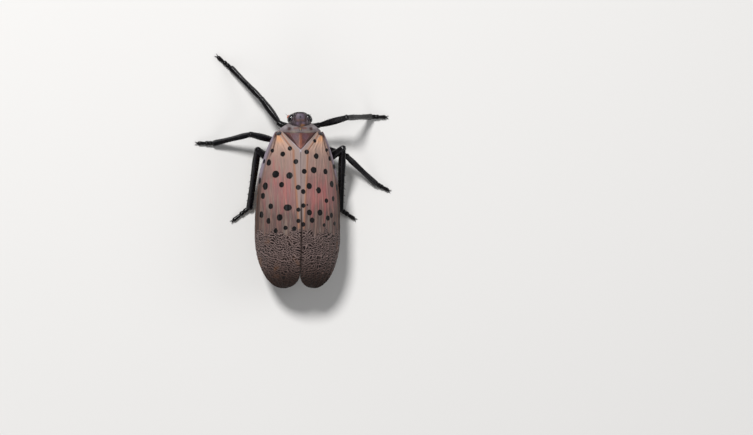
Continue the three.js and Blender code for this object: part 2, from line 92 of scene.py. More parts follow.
def curve_through(pairs: Sequence[tuple[float, float]]) -> Callable[[np.ndarray], np.ndarray]:
    """A smooth curve through pairs, without overshoot and level beyond both ends.

    Args:
        pairs: Place and value, in rising order of place.

    Returns:
        A function from places to values.
    """
    places = np.array([pair[0] for pair in pairs], float)
    values = np.array([pair[1] for pair in pairs], float)
    steps = np.diff(values) / np.diff(places)
    slopes = np.zeros(len(pairs))
    product = steps[:-1] * steps[1:]
    total = np.where(np.abs(steps[:-1] + steps[1:]) < 1e-12, 1, steps[:-1] + steps[1:])
    slopes[1:-1] = np.where(product > 0, 2 * product / total, 0)

    def curve(x: np.ndarray) -> np.ndarray:
        """The curve's values.

        Args:
            x: Places.

        Returns:
            The values there.
        """
        x = np.clip(np.asarray(x, float), places[0], places[-1])
        i = np.clip(np.searchsorted(places, x, side="right") - 1, 0, len(pairs) - 2)
        span = places[i + 1] - places[i]
        t = (x - places[i]) / span
        rise = t * t * (3 - 2 * t)
        bend = t * (1 - t) ** 2 * slopes[i] - t * t * (1 - t) * slopes[i + 1]
        return values[i] * (1 - rise) + values[i + 1] * rise + span * bend

    return curve


def smooth(edge0: float, edge1: float, x: Values) -> np.ndarray:
    """An even step from 0 at edge0 to 1 at edge1."""
    t = np.clip((np.asarray(x, float) - edge0) / (edge1 - edge0), 0, 1)
    return t * t * (3 - 2 * t)


def bell(distance: Values, width: Values) -> np.ndarray:
    """A rounded hump, 1 at distance 0 and fading over the width."""
    return np.exp(-((distance / width) ** 2))


def unit(vector: np.ndarray) -> np.ndarray:
    """The vector at length 1."""
    return vector / np.linalg.norm(vector)


def around(count: int) -> np.ndarray:
    """Angles spread evenly round a circle."""
    return np.linspace(0, FULL_TURN, count, endpoint=False)


def on_side(point: Point, side: int) -> np.ndarray:
    """A point given for the left side, on the side that the sign names."""
    return np.array((side * point[0], point[1], point[2]))


@dataclass(frozen=True)
class BodyPlace:
    """Where the insect's middle plane and zero station lie in the frame."""

    shift: Point

    @classmethod
    def from_frame(cls) -> "BodyPlace":
        """Reads the place from the collar, which is symmetric, and the front of the head."""
        low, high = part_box("pronotum")
        head_front = -8.15
        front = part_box("head")[0].y / MILLIMETRE
        return cls(((low.x + high.x) / 2 / MILLIMETRE, front - head_front, 0.0))

    def metres(self, points: np.ndarray) -> np.ndarray:
        """Points in body millimetres as points of the frame, in metres."""
        return (np.asarray(points, float) + self.shift) * MILLIMETRE


PLACE = BodyPlace.from_frame()


@dataclass
class Shape:
    """A surface in body millimetres: points, faces and what is painted on its points."""

    points: np.ndarray
    faces: list[tuple[int, ...]]
    paint: dict[str, np.ndarray] = field(default_factory=dict)
    uv: np.ndarray | None = None

    def moved(self, by: Point) -> "Shape":
        """The same shape, moved."""
        return Shape(self.points + np.array(by), self.faces, self.paint, self.uv)

    def reversed(self) -> "Shape":
        """Turns its faces round."""
        self.faces = [tuple(face[::-1]) for face in self.faces]
        return self

    def on(self, side: Side) -> "Shape":
        """Puts a shape that was made for the left side on the given side.

        Args:
            side: The side.

        Returns:
            The same shape.
        """
        if side is Side.LEFT:
            return self
        self.points[:, 0] *= -1
        return self.reversed()


def merged(shapes: Sequence[Shape]) -> Shape:
    """Several shapes as one, with the painted values that the first one has.

    Args:
        shapes: The shapes, each painted alike.

    Returns:
        One shape that holds all of them.
    """
    faces: list[tuple[int, ...]] = []
    start = 0
    for shape in shapes:
        faces += [tuple(i + start for i in face) for face in shape.faces]
        start += len(shape.points)
    paint = {key: np.concatenate([s.paint[key] for s in shapes]) for key in shapes[0].paint}
    return Shape(np.concatenate([s.points for s in shapes]), faces, paint)


def turned_out(shape: Shape) -> Shape:
    """The shape with its faces pointing out, judged by the volume that a few thousand of them enclose.

    Args:
        shape: A closed shape whose faces all point the same way, in or out.

    Returns:
        The same shape.
    """
    judged = 4000
    centre = shape.points.mean(0)
    volume = 0.0
    for face in shape.faces[:: max(1, len(shape.faces) // judged)]:
        a, b, c = (shape.points[face[i]] - centre for i in (0, 1, 2))
        volume += float(a @ np.cross(b, c))
    return shape.reversed() if volume < 0 else shape


def lofted(rings: np.ndarray) -> Shape:
    """A closed surface through rings of equal length, with a fan over each end.

    Args:
        rings: An array of rings, points round each ring, and x, y, z.

    Returns:
        The closed shape, its faces pointing out.
    """
    count, sides, _ = rings.shape
    points = np.concatenate([rings.reshape(-1, 3), [rings[0].mean(0), rings[-1].mean(0)]])
    faces: list[tuple[int, ...]] = []
    for r in range(count - 1):
        for s in range(sides):
            a, b = r * sides + s, r * sides + (s + 1) % sides
            faces.append((a, b, b + sides, a + sides))
    for s in range(sides):
        after = (s + 1) % sides
        faces.append((count * sides, after, s))
        faces.append((count * sides + 1, (count - 1) * sides + s, (count - 1) * sides + after))
    return turned_out(Shape(points, faces))


def ellipsoid(centre: Point, radii: Point, turn: float = 0.0, rows: int = 24) -> Shape:
    """A rounded body.

    Args:
        centre: Its middle.
        radii: Half its size along x, y and z.
        turn: Its turn about the upright axis, in radians.
        rows: Rings from pole to pole.

    Returns:
        The closed shape.
    """
    sides = 2 * rows
    lift = np.linspace(-QUARTER_TURN, QUARTER_TURN, rows + 2)[1:-1]
    angle = around(sides)
    x = radii[0] * np.cos(lift)[:, None] * np.cos(angle)
    y = radii[1] * np.cos(lift)[:, None] * np.sin(angle)
    z = radii[2] * np.sin(lift)[:, None] * np.ones(sides)
    cosine, sine = math.cos(turn), math.sin(turn)
    shape = lofted(np.stack([x * cosine - y * sine, x * sine + y * cosine, z], -1))
    shape.points[-2:, :2] = 0
    shape.points[-2:, 2] = [-radii[2], radii[2]]
    return shape.moved(centre)


def axes_along(direction: np.ndarray) -> tuple[np.ndarray, np.ndarray]:
    """Two axes across a direction.

    Args:
        direction: The direction, at length 1.

    Returns:
        The level axis and the one that points most nearly up.
    """
    side = np.cross(direction, (0, 0, 1))
    if np.linalg.norm(side) < 1e-6:
        side = np.array((1.0, 0.0, 0.0))
    side = unit(side)
    return side, np.cross(side, direction)


def ring(middle: np.ndarray, direction: np.ndarray, angles: np.ndarray, reach: Values,
         tall: float = 1.0) -> np.ndarray:
    """Points round a middle, across a direction.

    Args:
        middle: The ring's middle.
        direction: The way it faces, at length 1.
        angles: Where its points stand.
        reach: Distance of the points from the middle.
        tall: How much taller than wide it is.

    Returns:
        The points.
    """
    side, up = axes_along(direction)
    return middle + np.outer(reach * np.cos(angles), side) + np.outer(reach * tall * np.sin(angles), up)


def route_through(knots: np.ndarray, lengths: np.ndarray) -> Callable[[float], np.ndarray]:
    """A smooth route through knots.

    Args:
        knots: Points that it passes through.
        lengths: How far along it each of them lies.

    Returns:
        A function from the length along the route to its point.
    """
    slopes = np.gradient(knots, lengths, axis=0)

    def at(along: float) -> np.ndarray:
        """A point of the route.

        Args:
            along: The length up to it.

        Returns:
            The point.
        """
        i = int(np.clip(np.searchsorted(lengths, along, side="right") - 1, 0, len(lengths) - 2))
        span = lengths[i + 1] - lengths[i]
        t = (along - lengths[i]) / span
        h00, h10 = 2 * t**3 - 3 * t**2 + 1, t**3 - 2 * t**2 + t
        h01, h11 = -2 * t**3 + 3 * t**2, t**3 - t**2
        return h00 * knots[i] + h10 * span * slopes[i] + h01 * knots[i + 1] + h11 * span * slopes[i + 1]

    return at


def tube(route: Sequence[Point], radii: Sequence[float], sides: int = 12, steps: int = 24,
         tall: float = 1.0, ribs: int = 0, rib: float = 0.0) -> Shape:
    """A tube with rounded ends along a smooth route.

    Args:
        route: Points that the tube's middle passes through.
        radii: Its radius, spread evenly along it.
        sides: Points round it.
        steps: Rings along it.
        tall: How much taller than wide it is.
        ribs: Ridges round it.
        rib: Height of a ridge, as a share of the radius.

    Returns:
        The closed shape.
    """
    knots = np.array(route, float)
    lengths = np.concatenate([[0], np.cumsum(np.linalg.norm(np.diff(knots, axis=0), axis=1))])
    whole = lengths[-1]
    radius_at = curve_through(list(zip(np.linspace(0, whole, len(radii)), radii)))
    centre = route_through(knots, lengths)
    cap_turns = np.array([0.12, 0.45, 0.8, 1.15])
    start, end = radii[0], radii[-1]
    stations = [(-start * math.cos(t), start * math.sin(t)) for t in cap_turns]
    stations += [(a, float(radius_at(a))) for a in np.linspace(0, whole, steps)]
    stations += [(whole + end * math.cos(t), end * math.sin(t)) for t in cap_turns[::-1]]
    angles = around(sides) + math.pi / sides
    look = 0.02 * whole
    rings = []
    for along, radius in stations:
        inside = min(max(along, 0.0), whole)
        direction = unit(centre(min(inside + look, whole)) - centre(max(inside - look, 0)))
        reach = radius * (1 + rib * np.cos(ribs * angles)) if ribs else np.full(sides, radius)
        rings.append(ring(centre(inside) + direction * (along - inside), direction, angles, reach, tall))
    return lofted(np.array(rings))


def cone(root: np.ndarray, direction: np.ndarray, length: float, radius: float, curl: float = 0.0) -> Shape:
    """A pointed claw.

    Args:
        root: Middle of its root.
        direction: Where it points.
        length: Its length.
        radius: Radius of its root.
        curl: How far its tip bends down, as a share of its length.

    Returns:
        The closed shape.
    """
    blunt_tip = 0.006
    direction = unit(direction)
    rings = []
    for share in np.linspace(0, 1, 9):
        middle = root + direction * length * share - np.array((0, 0, 1)) * curl * length * share**2
        rings.append(ring(middle, direction, around(8), radius * (1 - share) ** 0.7 + blunt_tip))
    return lofted(np.array(rings))


def body_rings(stations: Sequence[Sequence[float]], rings: int, sides: int, lift: float) -> np.ndarray:
    """Rounded sections of the body through stations.

    Args:
        stations: Place along the body, half width, top and bottom of each.
        rings: Sections to make.
        sides: Points round each section.
        lift: Height of the widest level, as a share of the section.

    Returns:
        The rings.
    """
    squareness = 0.86
    places = [row[0] for row in stations]
    columns = [curve_through([(row[0], row[k]) for row in stations]) for k in (1, 2, 3)]
    y = np.linspace(places[0], places[-1], rings)
    half, top, bottom = (column(y) for column in columns)
    middle = bottom + (top - bottom) * lift
    sine, cosine = np.sin(around(sides)), np.cos(around(sides))
    reach = np.where(cosine > 0, (top - middle)[:, None], (middle - bottom)[:, None])
    x = half[:, None] * np.sign(sine) * np.abs(sine) ** squareness
    z = middle[:, None] + reach * np.sign(cosine) * np.abs(cosine) ** squareness
    return np.stack([x, np.repeat(y[:, None], sides, 1), z], -1)


def sheet(outer: np.ndarray, inner: np.ndarray) -> Shape:
    """A thin closed sheet between two grids of points.

    Args:
        outer: The outer face, rows by columns by x, y, z.
        inner: The inner face, alike.

    Returns:
        The closed shape; the outer points come first.
    """
    rows, columns, _ = outer.shape
    inside = rows * columns
    faces: list[tuple[int, ...]] = []
    for r in range(rows - 1):
        for c in range(columns - 1):
            a = r * columns + c
            faces.append((a, a + 1, a + columns + 1, a + columns))
            faces.append((a + inside, a + columns + inside, a + columns + 1 + inside, a + 1 + inside))
        for c, flip in ((0, False), (columns - 1, True)):
            a, b = r * columns + c, (r + 1) * columns + c
            rim = (a, b, b + inside, a + inside)
            faces.append(rim[::-1] if flip else rim)
    for c in range(columns - 1):
        for r, flip in ((0, True), (rows - 1, False)):
            a = r * columns + c
            rim = (a, a + 1, a + 1 + inside, a + inside)
            faces.append(rim[::-1] if flip else rim)
    shape = Shape(np.concatenate([outer.reshape(-1, 3), inner.reshape(-1, 3)]), faces)
    row, column = rows // 2, columns // 2
    corner, across, beyond = outer[row, column], outer[row, column + 1], outer[row + 1, column + 1]
    facing = np.cross(across - corner, beyond - corner) @ (corner - inner[row, column])
    return shape.reversed() if facing < 0 else shape


class Canvas:
    """Colour painted on a shape's points, in soft-edged layers."""

    def __init__(self, shape: Shape, base: Colour) -> None:
        """Starts with one colour all over the shape."""
        self.shape = shape
        self.colour = np.tile(np.array((*base, 1.0)), (len(shape.points), 1))

    def layer(self, mask: np.ndarray, colour: Colour) -> None:
        """Lays a colour over the points, as thick as the mask says."""
        share = np.clip(mask, 0, 1)[:, None]
        self.colour[:, :3] = self.colour[:, :3] * (1 - share) + np.array(colour) * share

    def blot(self, centre: Point, radii: Point, colour: Colour, soft: float = 0.35,
             strength: float = 1.0, both: bool = True) -> None:
        """Lays a rounded blot of colour.

        Args:
            centre: Its middle.
            radii: Half its size along x, y and z.
            colour: Its colour.
            soft: Width of its edge, as a share of its size.
            strength: How thick the colour lies.
            both: Whether the other side has the same blot, where its middle is off the middle plane.
        """
        for side in (BOTH_SIDES if both and centre[0] else (1,)):
            distance = np.linalg.norm((self.shape.points - on_side(centre, side)) / np.array(radii), axis=1)
            self.layer(strength * (1 - smooth(1 - soft, 1 + soft, distance)), colour)

    def painted(self) -> Shape:
        """The shape with the colours on it."""
        self.shape.paint = {"tint": self.colour}
        return self.shape


def linked(name: str, data: bpy.types.ID) -> bpy.types.Object:
    """Adds an object to the scene.

    Args:
        name: The object's name.
        data: What it shows.

    Returns:
        The object.
    """
    made = bpy.data.objects.new(name, data)
    bpy.context.scene.collection.objects.link(made)
    return made


def place_object(name: str, shape: Shape, material: bpy.types.Material) -> bpy.types.Object:
    """Makes a shape an object of the scene, at the origin, with its place in its mesh.

    Args:
        name: The piece's name.
        shape: Its surface, in body millimetres.
        material: Its finish.

    Returns:
        The object.
    """
    mesh = bpy.data.meshes.new(name)
    mesh.from_pydata(PLACE.metres(shape.points).tolist(), [], shape.faces)
    mesh.polygons.foreach_set("use_smooth", np.ones(len(mesh.polygons), bool))
    for key, values in shape.paint.items():
        kind, slot = ("FLOAT_COLOR", "color") if values.ndim == 2 else ("FLOAT", "value")
        mesh.attributes.new(key, kind, "POINT").data.foreach_set(slot, values.astype(np.float32).ravel())
    if shape.uv is not None:
        corners = np.zeros(len(mesh.loops), np.int32)
        mesh.loops.foreach_get("vertex_index", corners)
        mesh.uv_layers.new(name="UVMap").data.foreach_set("uv", shape.uv[corners].astype(np.float32).ravel())
    mesh.materials.append(material)
    mesh.update()
    return linked(name, mesh)


def settle(piece: bpy.types.Object, nodes: Sequence[str] = ()) -> None:
    """Rides a finished piece on the body, hides the parts that it stands for and logs its faces.

    Args:
        piece: The finished piece.
        nodes: The nodes that it stands for.
    """
    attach(piece, "root")
    if nodes:
        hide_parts(*nodes)
    log.info("%s: %d faces", piece.name, len(piece.data.polygons))


def baked(piece: bpy.types.Object) -> bpy.types.Object:
    """Turns a piece's modifiers into its mesh and removes them.

    Args:
        piece: The piece with its modifiers.

    Returns:
        The same piece.
    """
    bpy.context.view_layer.update()
    evaluated = piece.evaluated_get(bpy.context.evaluated_depsgraph_get())
    mesh = bpy.data.meshes.new_from_object(evaluated)
    piece.modifiers.clear()
    old = piece.data
    piece.data = mesh
    bpy.data.meshes.remove(old)
    mesh.name = piece.name
    return piece


def fused(shapes: Sequence[Shape], voxel: float, rounds: int) -> Shape:
    """Melts overlapping shapes into one skin.

    Args:
        shapes: Closed shapes that overlap.
        voxel: Size of the finest detail kept, in millimetres.
        rounds: Rounds of smoothing.

    Returns:
        One closed shape.
    """
    bare = merged([Shape(s.points, s.faces) for s in shapes])
    mesh = bpy.data.meshes.new("melt")
    mesh.from_pydata(bare.points.tolist(), [], bare.faces)
    piece = linked("melt", mesh)
    remesh = piece.modifiers.new("skin", "REMESH")
    remesh.mode = "VOXEL"
    remesh.voxel_size = voxel
    soften = piece.modifiers.new("soften", "SMOOTH")
    soften.factor = 0.5
    soften.iterations = rounds
    baked(piece)
    points = np.zeros(len(piece.data.vertices) * 3)
    piece.data.vertices.foreach_get("co", points)
    shape = Shape(points.reshape(-1, 3), [tuple(face.vertices) for face in piece.data.polygons])
    bpy.data.objects.remove(piece)
    return shape


class Tree:
    """A node tree that is put together one node at a time."""

    def __init__(self, tree: bpy.types.NodeTree) -> None:
        """Works in the given tree."""
        self.tree = tree

    def node(self, kind: str, values: dict[int | str, Socketed] | None = None,
             **settings: object) -> bpy.types.Node:
        """Adds a node.

        Args:
            kind: The node's type.
            values: What feeds its inputs, by index or name.
            **settings: Its own options.

        Returns:
            The node.
        """
        made = self.tree.nodes.new(kind)
        for key, value in settings.items():
            setattr(made, key, value)
        for key, value in (values or {}).items():
            self.feed(made.inputs[key], value)
        return made

    def feed(self, socket: bpy.types.NodeSocket, value: Socketed) -> None:
        """Links a socket to another, or sets its value.

        Args:
            socket: The socket to feed.
            value: Another socket, or the value.
        """
        if isinstance(value, bpy.types.NodeSocket):
            self.tree.links.new(value, socket)
        elif isinstance(value, (tuple, list)) and len(value) == 3 and socket.type == "RGBA":
            socket.default_value = (*value, 1.0)
        else:
            socket.default_value = value

    def math(self, operation: str, *values: Socketed) -> bpy.types.NodeSocket:
        """One step of arithmetic."""
        return self.node("ShaderNodeMath", dict(enumerate(values)), operation=operation).outputs[0]

    def vectors(self, operation: str, vector: Socketed, other: Socketed) -> bpy.types.NodeSocket:
        """One step of arithmetic with vectors."""
        key = "Scale" if operation == "SCALE" else 1
        return self.node("ShaderNodeVectorMath", {0: vector, key: other}, operation=operation).outputs[0]

    def step(self, value: Socketed, low: float, high: float, amount: float = 1.0) -> bpy.types.NodeSocket:
        """An even step from 0 at low to an amount at high, also where high is the lower of the two.

        Args:
            value: What decides.
            low: Where the step starts.
            high: Where it ends.
            amount: How high it goes.

        Returns:
            The step.
        """
        first, last = (0.0, amount) if low < high else (amount, 0.0)
        made = self.node("ShaderNodeMapRange", {0: value, 1: min(low, high), 2: max(low, high), 3: first,
                                                4: last}, interpolation_type="SMOOTHSTEP")
        return made.outputs[0]

    def cells(self, vector: Socketed, scale: float = 1.0, feature: str = "F1", flat: bool = False,
              loose: float = 1.0) -> bpy.types.NodeSocket:
        """Distance in a pattern of cells.

        Args:
            vector: The point's place.
            scale: Cells to a unit of length.
            feature: What the distance is measured from.
            flat: Whether the pattern has two dimensions.
            loose: How uneven the cells are, 0 to 1.

        Returns:
            The distance.
        """
        made = self.node("ShaderNodeTexVoronoi", {"Vector": vector, "Scale": scale, "Randomness": loose},
                         feature=feature, voronoi_dimensions="2D" if flat else "3D")
        return made.outputs["Distance"]


class Shader(Tree):
    """A procedural finish."""

    def __init__(self, name: str, roughness: float = 0.5, **fixed: float) -> None:
        """Starts a finish with its fixed values on the shader's own sockets.

        Args:
            name: The finish's name.
            roughness: How matt it is.
            **fixed: Other sockets of the shader, with underscores for spaces.
        """
        self.material = bpy.data.materials.new(name)
        self.material.use_nodes = True
        super().__init__(self.material.node_tree)
        self.tree.nodes.clear()
        self.surface = self.node("ShaderNodeBsdfPrincipled", {"Roughness": roughness})
        self.node("ShaderNodeOutputMaterial", {0: self.surface.outputs[0]})
        for key, value in fixed.items():
            self.surface.inputs[key.replace("_", " ")].default_value = value

    def place(self) -> bpy.types.NodeSocket:
        """The point on the surface, in millimetres."""
        where = self.node("ShaderNodeTexCoord").outputs["Object"]
        return self.vectors("MULTIPLY", where, (1000.0, 1000.0, 1000.0))

    def uv(self) -> bpy.types.NodeSocket:
        """The point's place on the unrolled surface."""
        return self.node("ShaderNodeUVMap", uv_map="UVMap").outputs[0]

    def painted(self, name: str, colour: bool = False) -> bpy.types.NodeSocket:
        """A value or colour painted on the points."""
        made = self.node("ShaderNodeAttribute", attribute_name=name)
        return made.outputs["Color" if colour else "Fac"]

    def noise(self, vector: Socketed, scale: float, detail: float = 3.0,
              rough: float = 0.55) -> bpy.types.NodeSocket:
        """Cloudy noise between 0 and 1."""
        return self.node("ShaderNodeTexNoise", {"Vector": vector, "Scale": scale, "Detail": detail,
                                                "Roughness": rough}).outputs[0]

    def stretched_noise(self, vector: Socketed, along: float, across: float, detail: float = 3.0,
                        rough: float = 0.55) -> bpy.types.NodeSocket:
        """Noise drawn out along a wing: so many clouds to a millimetre along and across it."""
        return self.noise(self.vectors("MULTIPLY", vector, (along, across, 1.0)), 1.0, detail, rough)

    def mix(self, share: Socketed, under: Socketed, over: Socketed,
            blend: str = "MIX") -> bpy.types.NodeSocket:
        """One colour over another."""
        made = self.node("ShaderNodeMix", {0: share, 6: under, 7: over}, data_type="RGBA", blend_type=blend)
        return made.outputs[2]

    def layered(self, ground: Socketed, layers: Sequence[tuple[Socketed, Socketed]]) -> Socketed:
        """Colours laid over a ground, one after another.

        Args:
            ground: The first colour.
            layers: How thick each colour lies, and the colour.

        Returns:
            The last colour.
        """
        for share, colour in layers:
            ground = self.mix(share, ground, colour)
        return ground

    def dress(self, colour: Socketed, height: Socketed | None = None, depth: float = 0.02,
              strength: float = 0.6, roughness: Socketed | None = None) -> bpy.types.Material:
        """Feeds the surface its colour, relief and gloss.

        Args:
            colour: The base colour.
            height: The relief, 0 to 1.
            depth: Height of the relief, in millimetres.
            strength: How strongly the relief shows.
            roughness: How matt each place is, where that changes.

        Returns:
            The finished material.
        """
        self.feed(self.surface.inputs["Base Color"], colour)
        if height is not None:
            bump = self.node("ShaderNodeBump", {"Strength": strength, "Distance": depth * MILLIMETRE,
                                                "Height": height})
            self.feed(self.surface.inputs["Normal"], bump.outputs[0])
        if roughness is not None:
            self.feed(self.surface.inputs["Roughness"], roughness)
        return self.material


class GeometryTree(Tree):
    """A Geometry Nodes tree with named inputs."""

    def __init__(self, name: str, **sizes: float) -> None:
        """Starts a tree.

        Args:
            name: The tree's name.
            **sizes: Its named inputs and their usual values.
        """
        super().__init__(bpy.data.node_groups.new(name, "GeometryNodeTree"))
        interface = self.tree.interface
        interface.new_socket("Geometry", in_out="INPUT", socket_type="NodeSocketGeometry")
        self.identifiers: dict[str, str] = {}
        for label, usual in sizes.items():
            socket = interface.new_socket(label, in_out="INPUT", socket_type="NodeSocketFloat")
            socket.default_value = usual
            self.identifiers[label] = socket.identifier
        interface.new_socket("Geometry", in_out="OUTPUT", socket_type="NodeSocketGeometry")
        self.inputs = self.tree.nodes.new("NodeGroupInput").outputs
        self.end = self.tree.nodes.new("NodeGroupOutput")

    def carried(self, name: str, kind: str = "FLOAT") -> bpy.types.NodeSocket:
        """A value that the points carry."""
        return self.node("GeometryNodeInputNamedAttribute", {"Name": name}, data_type=kind).outputs[0]

    def set_spikes(self, points: bpy.types.NodeSocket, way: bpy.types.NodeSocket,
                   length: bpy.types.NodeSocket, sides: int, material: bpy.types.Material) -> "GeometryTree":
        """Sets a spike on each point, with the tree's radius at its root, and ends the tree.

        Args:
            points: The points.
            way: Where each spike points.
            length: How long it is.
            sides: Its sides.
            material: Its finish.

        Returns:
            The tree.
        """
        radius = self.inputs["Radius"]
        spike = self.node("GeometryNodeMeshCone", {"Vertices": sides, "Radius Top": 0.0, "Radius Bottom": 1.0,
                                                   "Depth": 1.0}, fill_type="NONE")
        turn = self.node("FunctionNodeAlignRotationToVector", {"Vector": way}, axis="Z")
        size = self.node("ShaderNodeCombineXYZ", {0: radius, 1: radius, 2: length})
        placed = self.node("GeometryNodeInstanceOnPoints", {
            "Points": points, "Instance": spike.outputs["Mesh"], "Rotation": turn.outputs[0],
            "Scale": size.outputs[0]})
        real = self.node("GeometryNodeRealizeInstances", {0: placed.outputs[0]})
        dressed = self.node("GeometryNodeSetMaterial", {"Geometry": real.outputs[0], "Material": material})
        return self.finish(dressed.outputs[0])

    def finish(self, geometry: bpy.types.NodeSocket) -> "GeometryTree":
        """Ends the tree with this geometry."""
        self.tree.links.new(geometry, self.end.inputs[0])
        return self

    def run(self, piece: bpy.types.Object, **sizes: float) -> bpy.types.Object:
        """Runs the tree on a piece and keeps the result as its mesh.

        Args:
            piece: The piece that the tree starts from.
            **sizes: Values of its named inputs.

        Returns:
            The piece.
        """
        modifier = piece.modifiers.new("nodes", "NODES")
        modifier.node_group = self.tree
        for key, value in sizes.items():
            modifier[self.identifiers[key]] = float(value)
        return baked(piece)


def spike_tree(material: bpy.types.Material) -> GeometryTree:
    """Spines, one on each point of a guide, along its painted direction and of its painted length.

    Args:
        material: The spines' finish.

    Returns:
        The tree, with the radius as input, in metres.
    """
    tree = GeometryTree("spikes_" + material.name, Radius=0.00001)
    way, length = tree.carried("direction", "FLOAT_VECTOR"), tree.carried("length")
    return tree.set_spikes(tree.inputs[0], way, length, 5, material)


def fur_tree(material: bpy.types.Material) -> GeometryTree:
    """Fine hairs scattered over a surface, leaning along the body.

    Args:
        material: The hairs' finish.

    Returns:
        The tree, with density, length, radius and seed as inputs, all in metres.
    """
    tree = GeometryTree("hairs_" + material.name, Density=1e6, Length=0.0002, Radius=5e-6, Seed=1.0)
    scatter = tree.node("GeometryNodeDistributePointsOnFaces", {
        "Mesh": tree.inputs[0], "Density": tree.inputs["Density"], "Seed": tree.inputs["Seed"]})
    way = tree.vectors("ADD", scatter.outputs["Normal"], (0.0, 0.45, -0.25))
    vary = tree.node("FunctionNodeRandomValue", {2: 0.6, 3: 1.25, "Seed": 7}, data_type="FLOAT")
    length = tree.math("MULTIPLY", tree.inputs["Length"], vary.outputs[1])
    return tree.set_spikes(scatter.outputs["Points"], way, length, 4, material)


@dataclass(frozen=True)
class NetPattern:
    """The fine network of veins in the rear third of a forewing, in wing millimetres."""

    cell_length: float = 0.36
    cell_width: float = 0.4
    line: float = 0.13
    looseness: float = 0.9
    bend: float = 4.2
    bend_scale: float = 0.7
    bend_detail: float = 1.5
    fineness: float = 1.6
    slant: float = 0.4
    height: float = 0.03

    def distance(self, tree: Tree, place: bpy.types.NodeSocket) -> bpy.types.NodeSocket:
        """Distance from the nearest line of the network, in cells.

        Args:
            tree: The tree that draws or raises the network.
            place: The point's place on the wing, in wing millimetres.

        Returns:
            The distance.
        """
        cells = tree.vectors("MULTIPLY", place, (1 / self.cell_length, 1 / self.cell_width, 0.0))
        noise = tree.node("ShaderNodeTexNoise", {"Vector": place, "Scale": self.bend_scale,
                                                 "Detail": self.bend_detail}).outputs[1]
        bent = tree.vectors("ADD", cells, tree.vectors("SCALE", noise, self.bend))
        edge = tree.cells(bent, feature="DISTANCE_TO_EDGE", flat=True, loose=self.looseness)
        along, across, _ = tree.node("ShaderNodeSeparateXYZ", {0: bent}).outputs
        row = tree.math("FRACT", tree.math("MULTIPLY_ADD", across, self.slant, along))
        ridge = tree.math("ABSOLUTE", tree.math("SUBTRACT", row, 0.5))
        return tree.math("MINIMUM", ridge, tree.math("MULTIPLY", edge, self.fineness))

    def lines(self, shader: Shader) -> bpy.types.NodeSocket:
        """How close each point is to a line of the network, for a finish."""
        return shader.step(self.distance(shader, shader.uv()), self.line * 1.4, self.line * 0.4)

    def relief_tree(self) -> GeometryTree:
        """The tree that raises the network from the membrane, with its height in metres as input."""
        tree = GeometryTree("net_relief", Height=self.height * MILLIMETRE)
        distance = self.distance(tree, tree.carried("UVMap", "FLOAT_VECTOR"))
        raised = tree.math("MULTIPLY", tree.step(distance, self.line * 1.8, 0.0), tree.carried("net"))
        amount = tree.math("MULTIPLY", raised, tree.inputs["Height"])
        out = tree.node("GeometryNodeInputNormal").outputs[0]
        moved = tree.node("GeometryNodeSetPosition", {
            "Geometry": tree.inputs[0], "Offset": tree.vectors("SCALE", out, amount)})
        return tree.finish(moved.outputs[0])


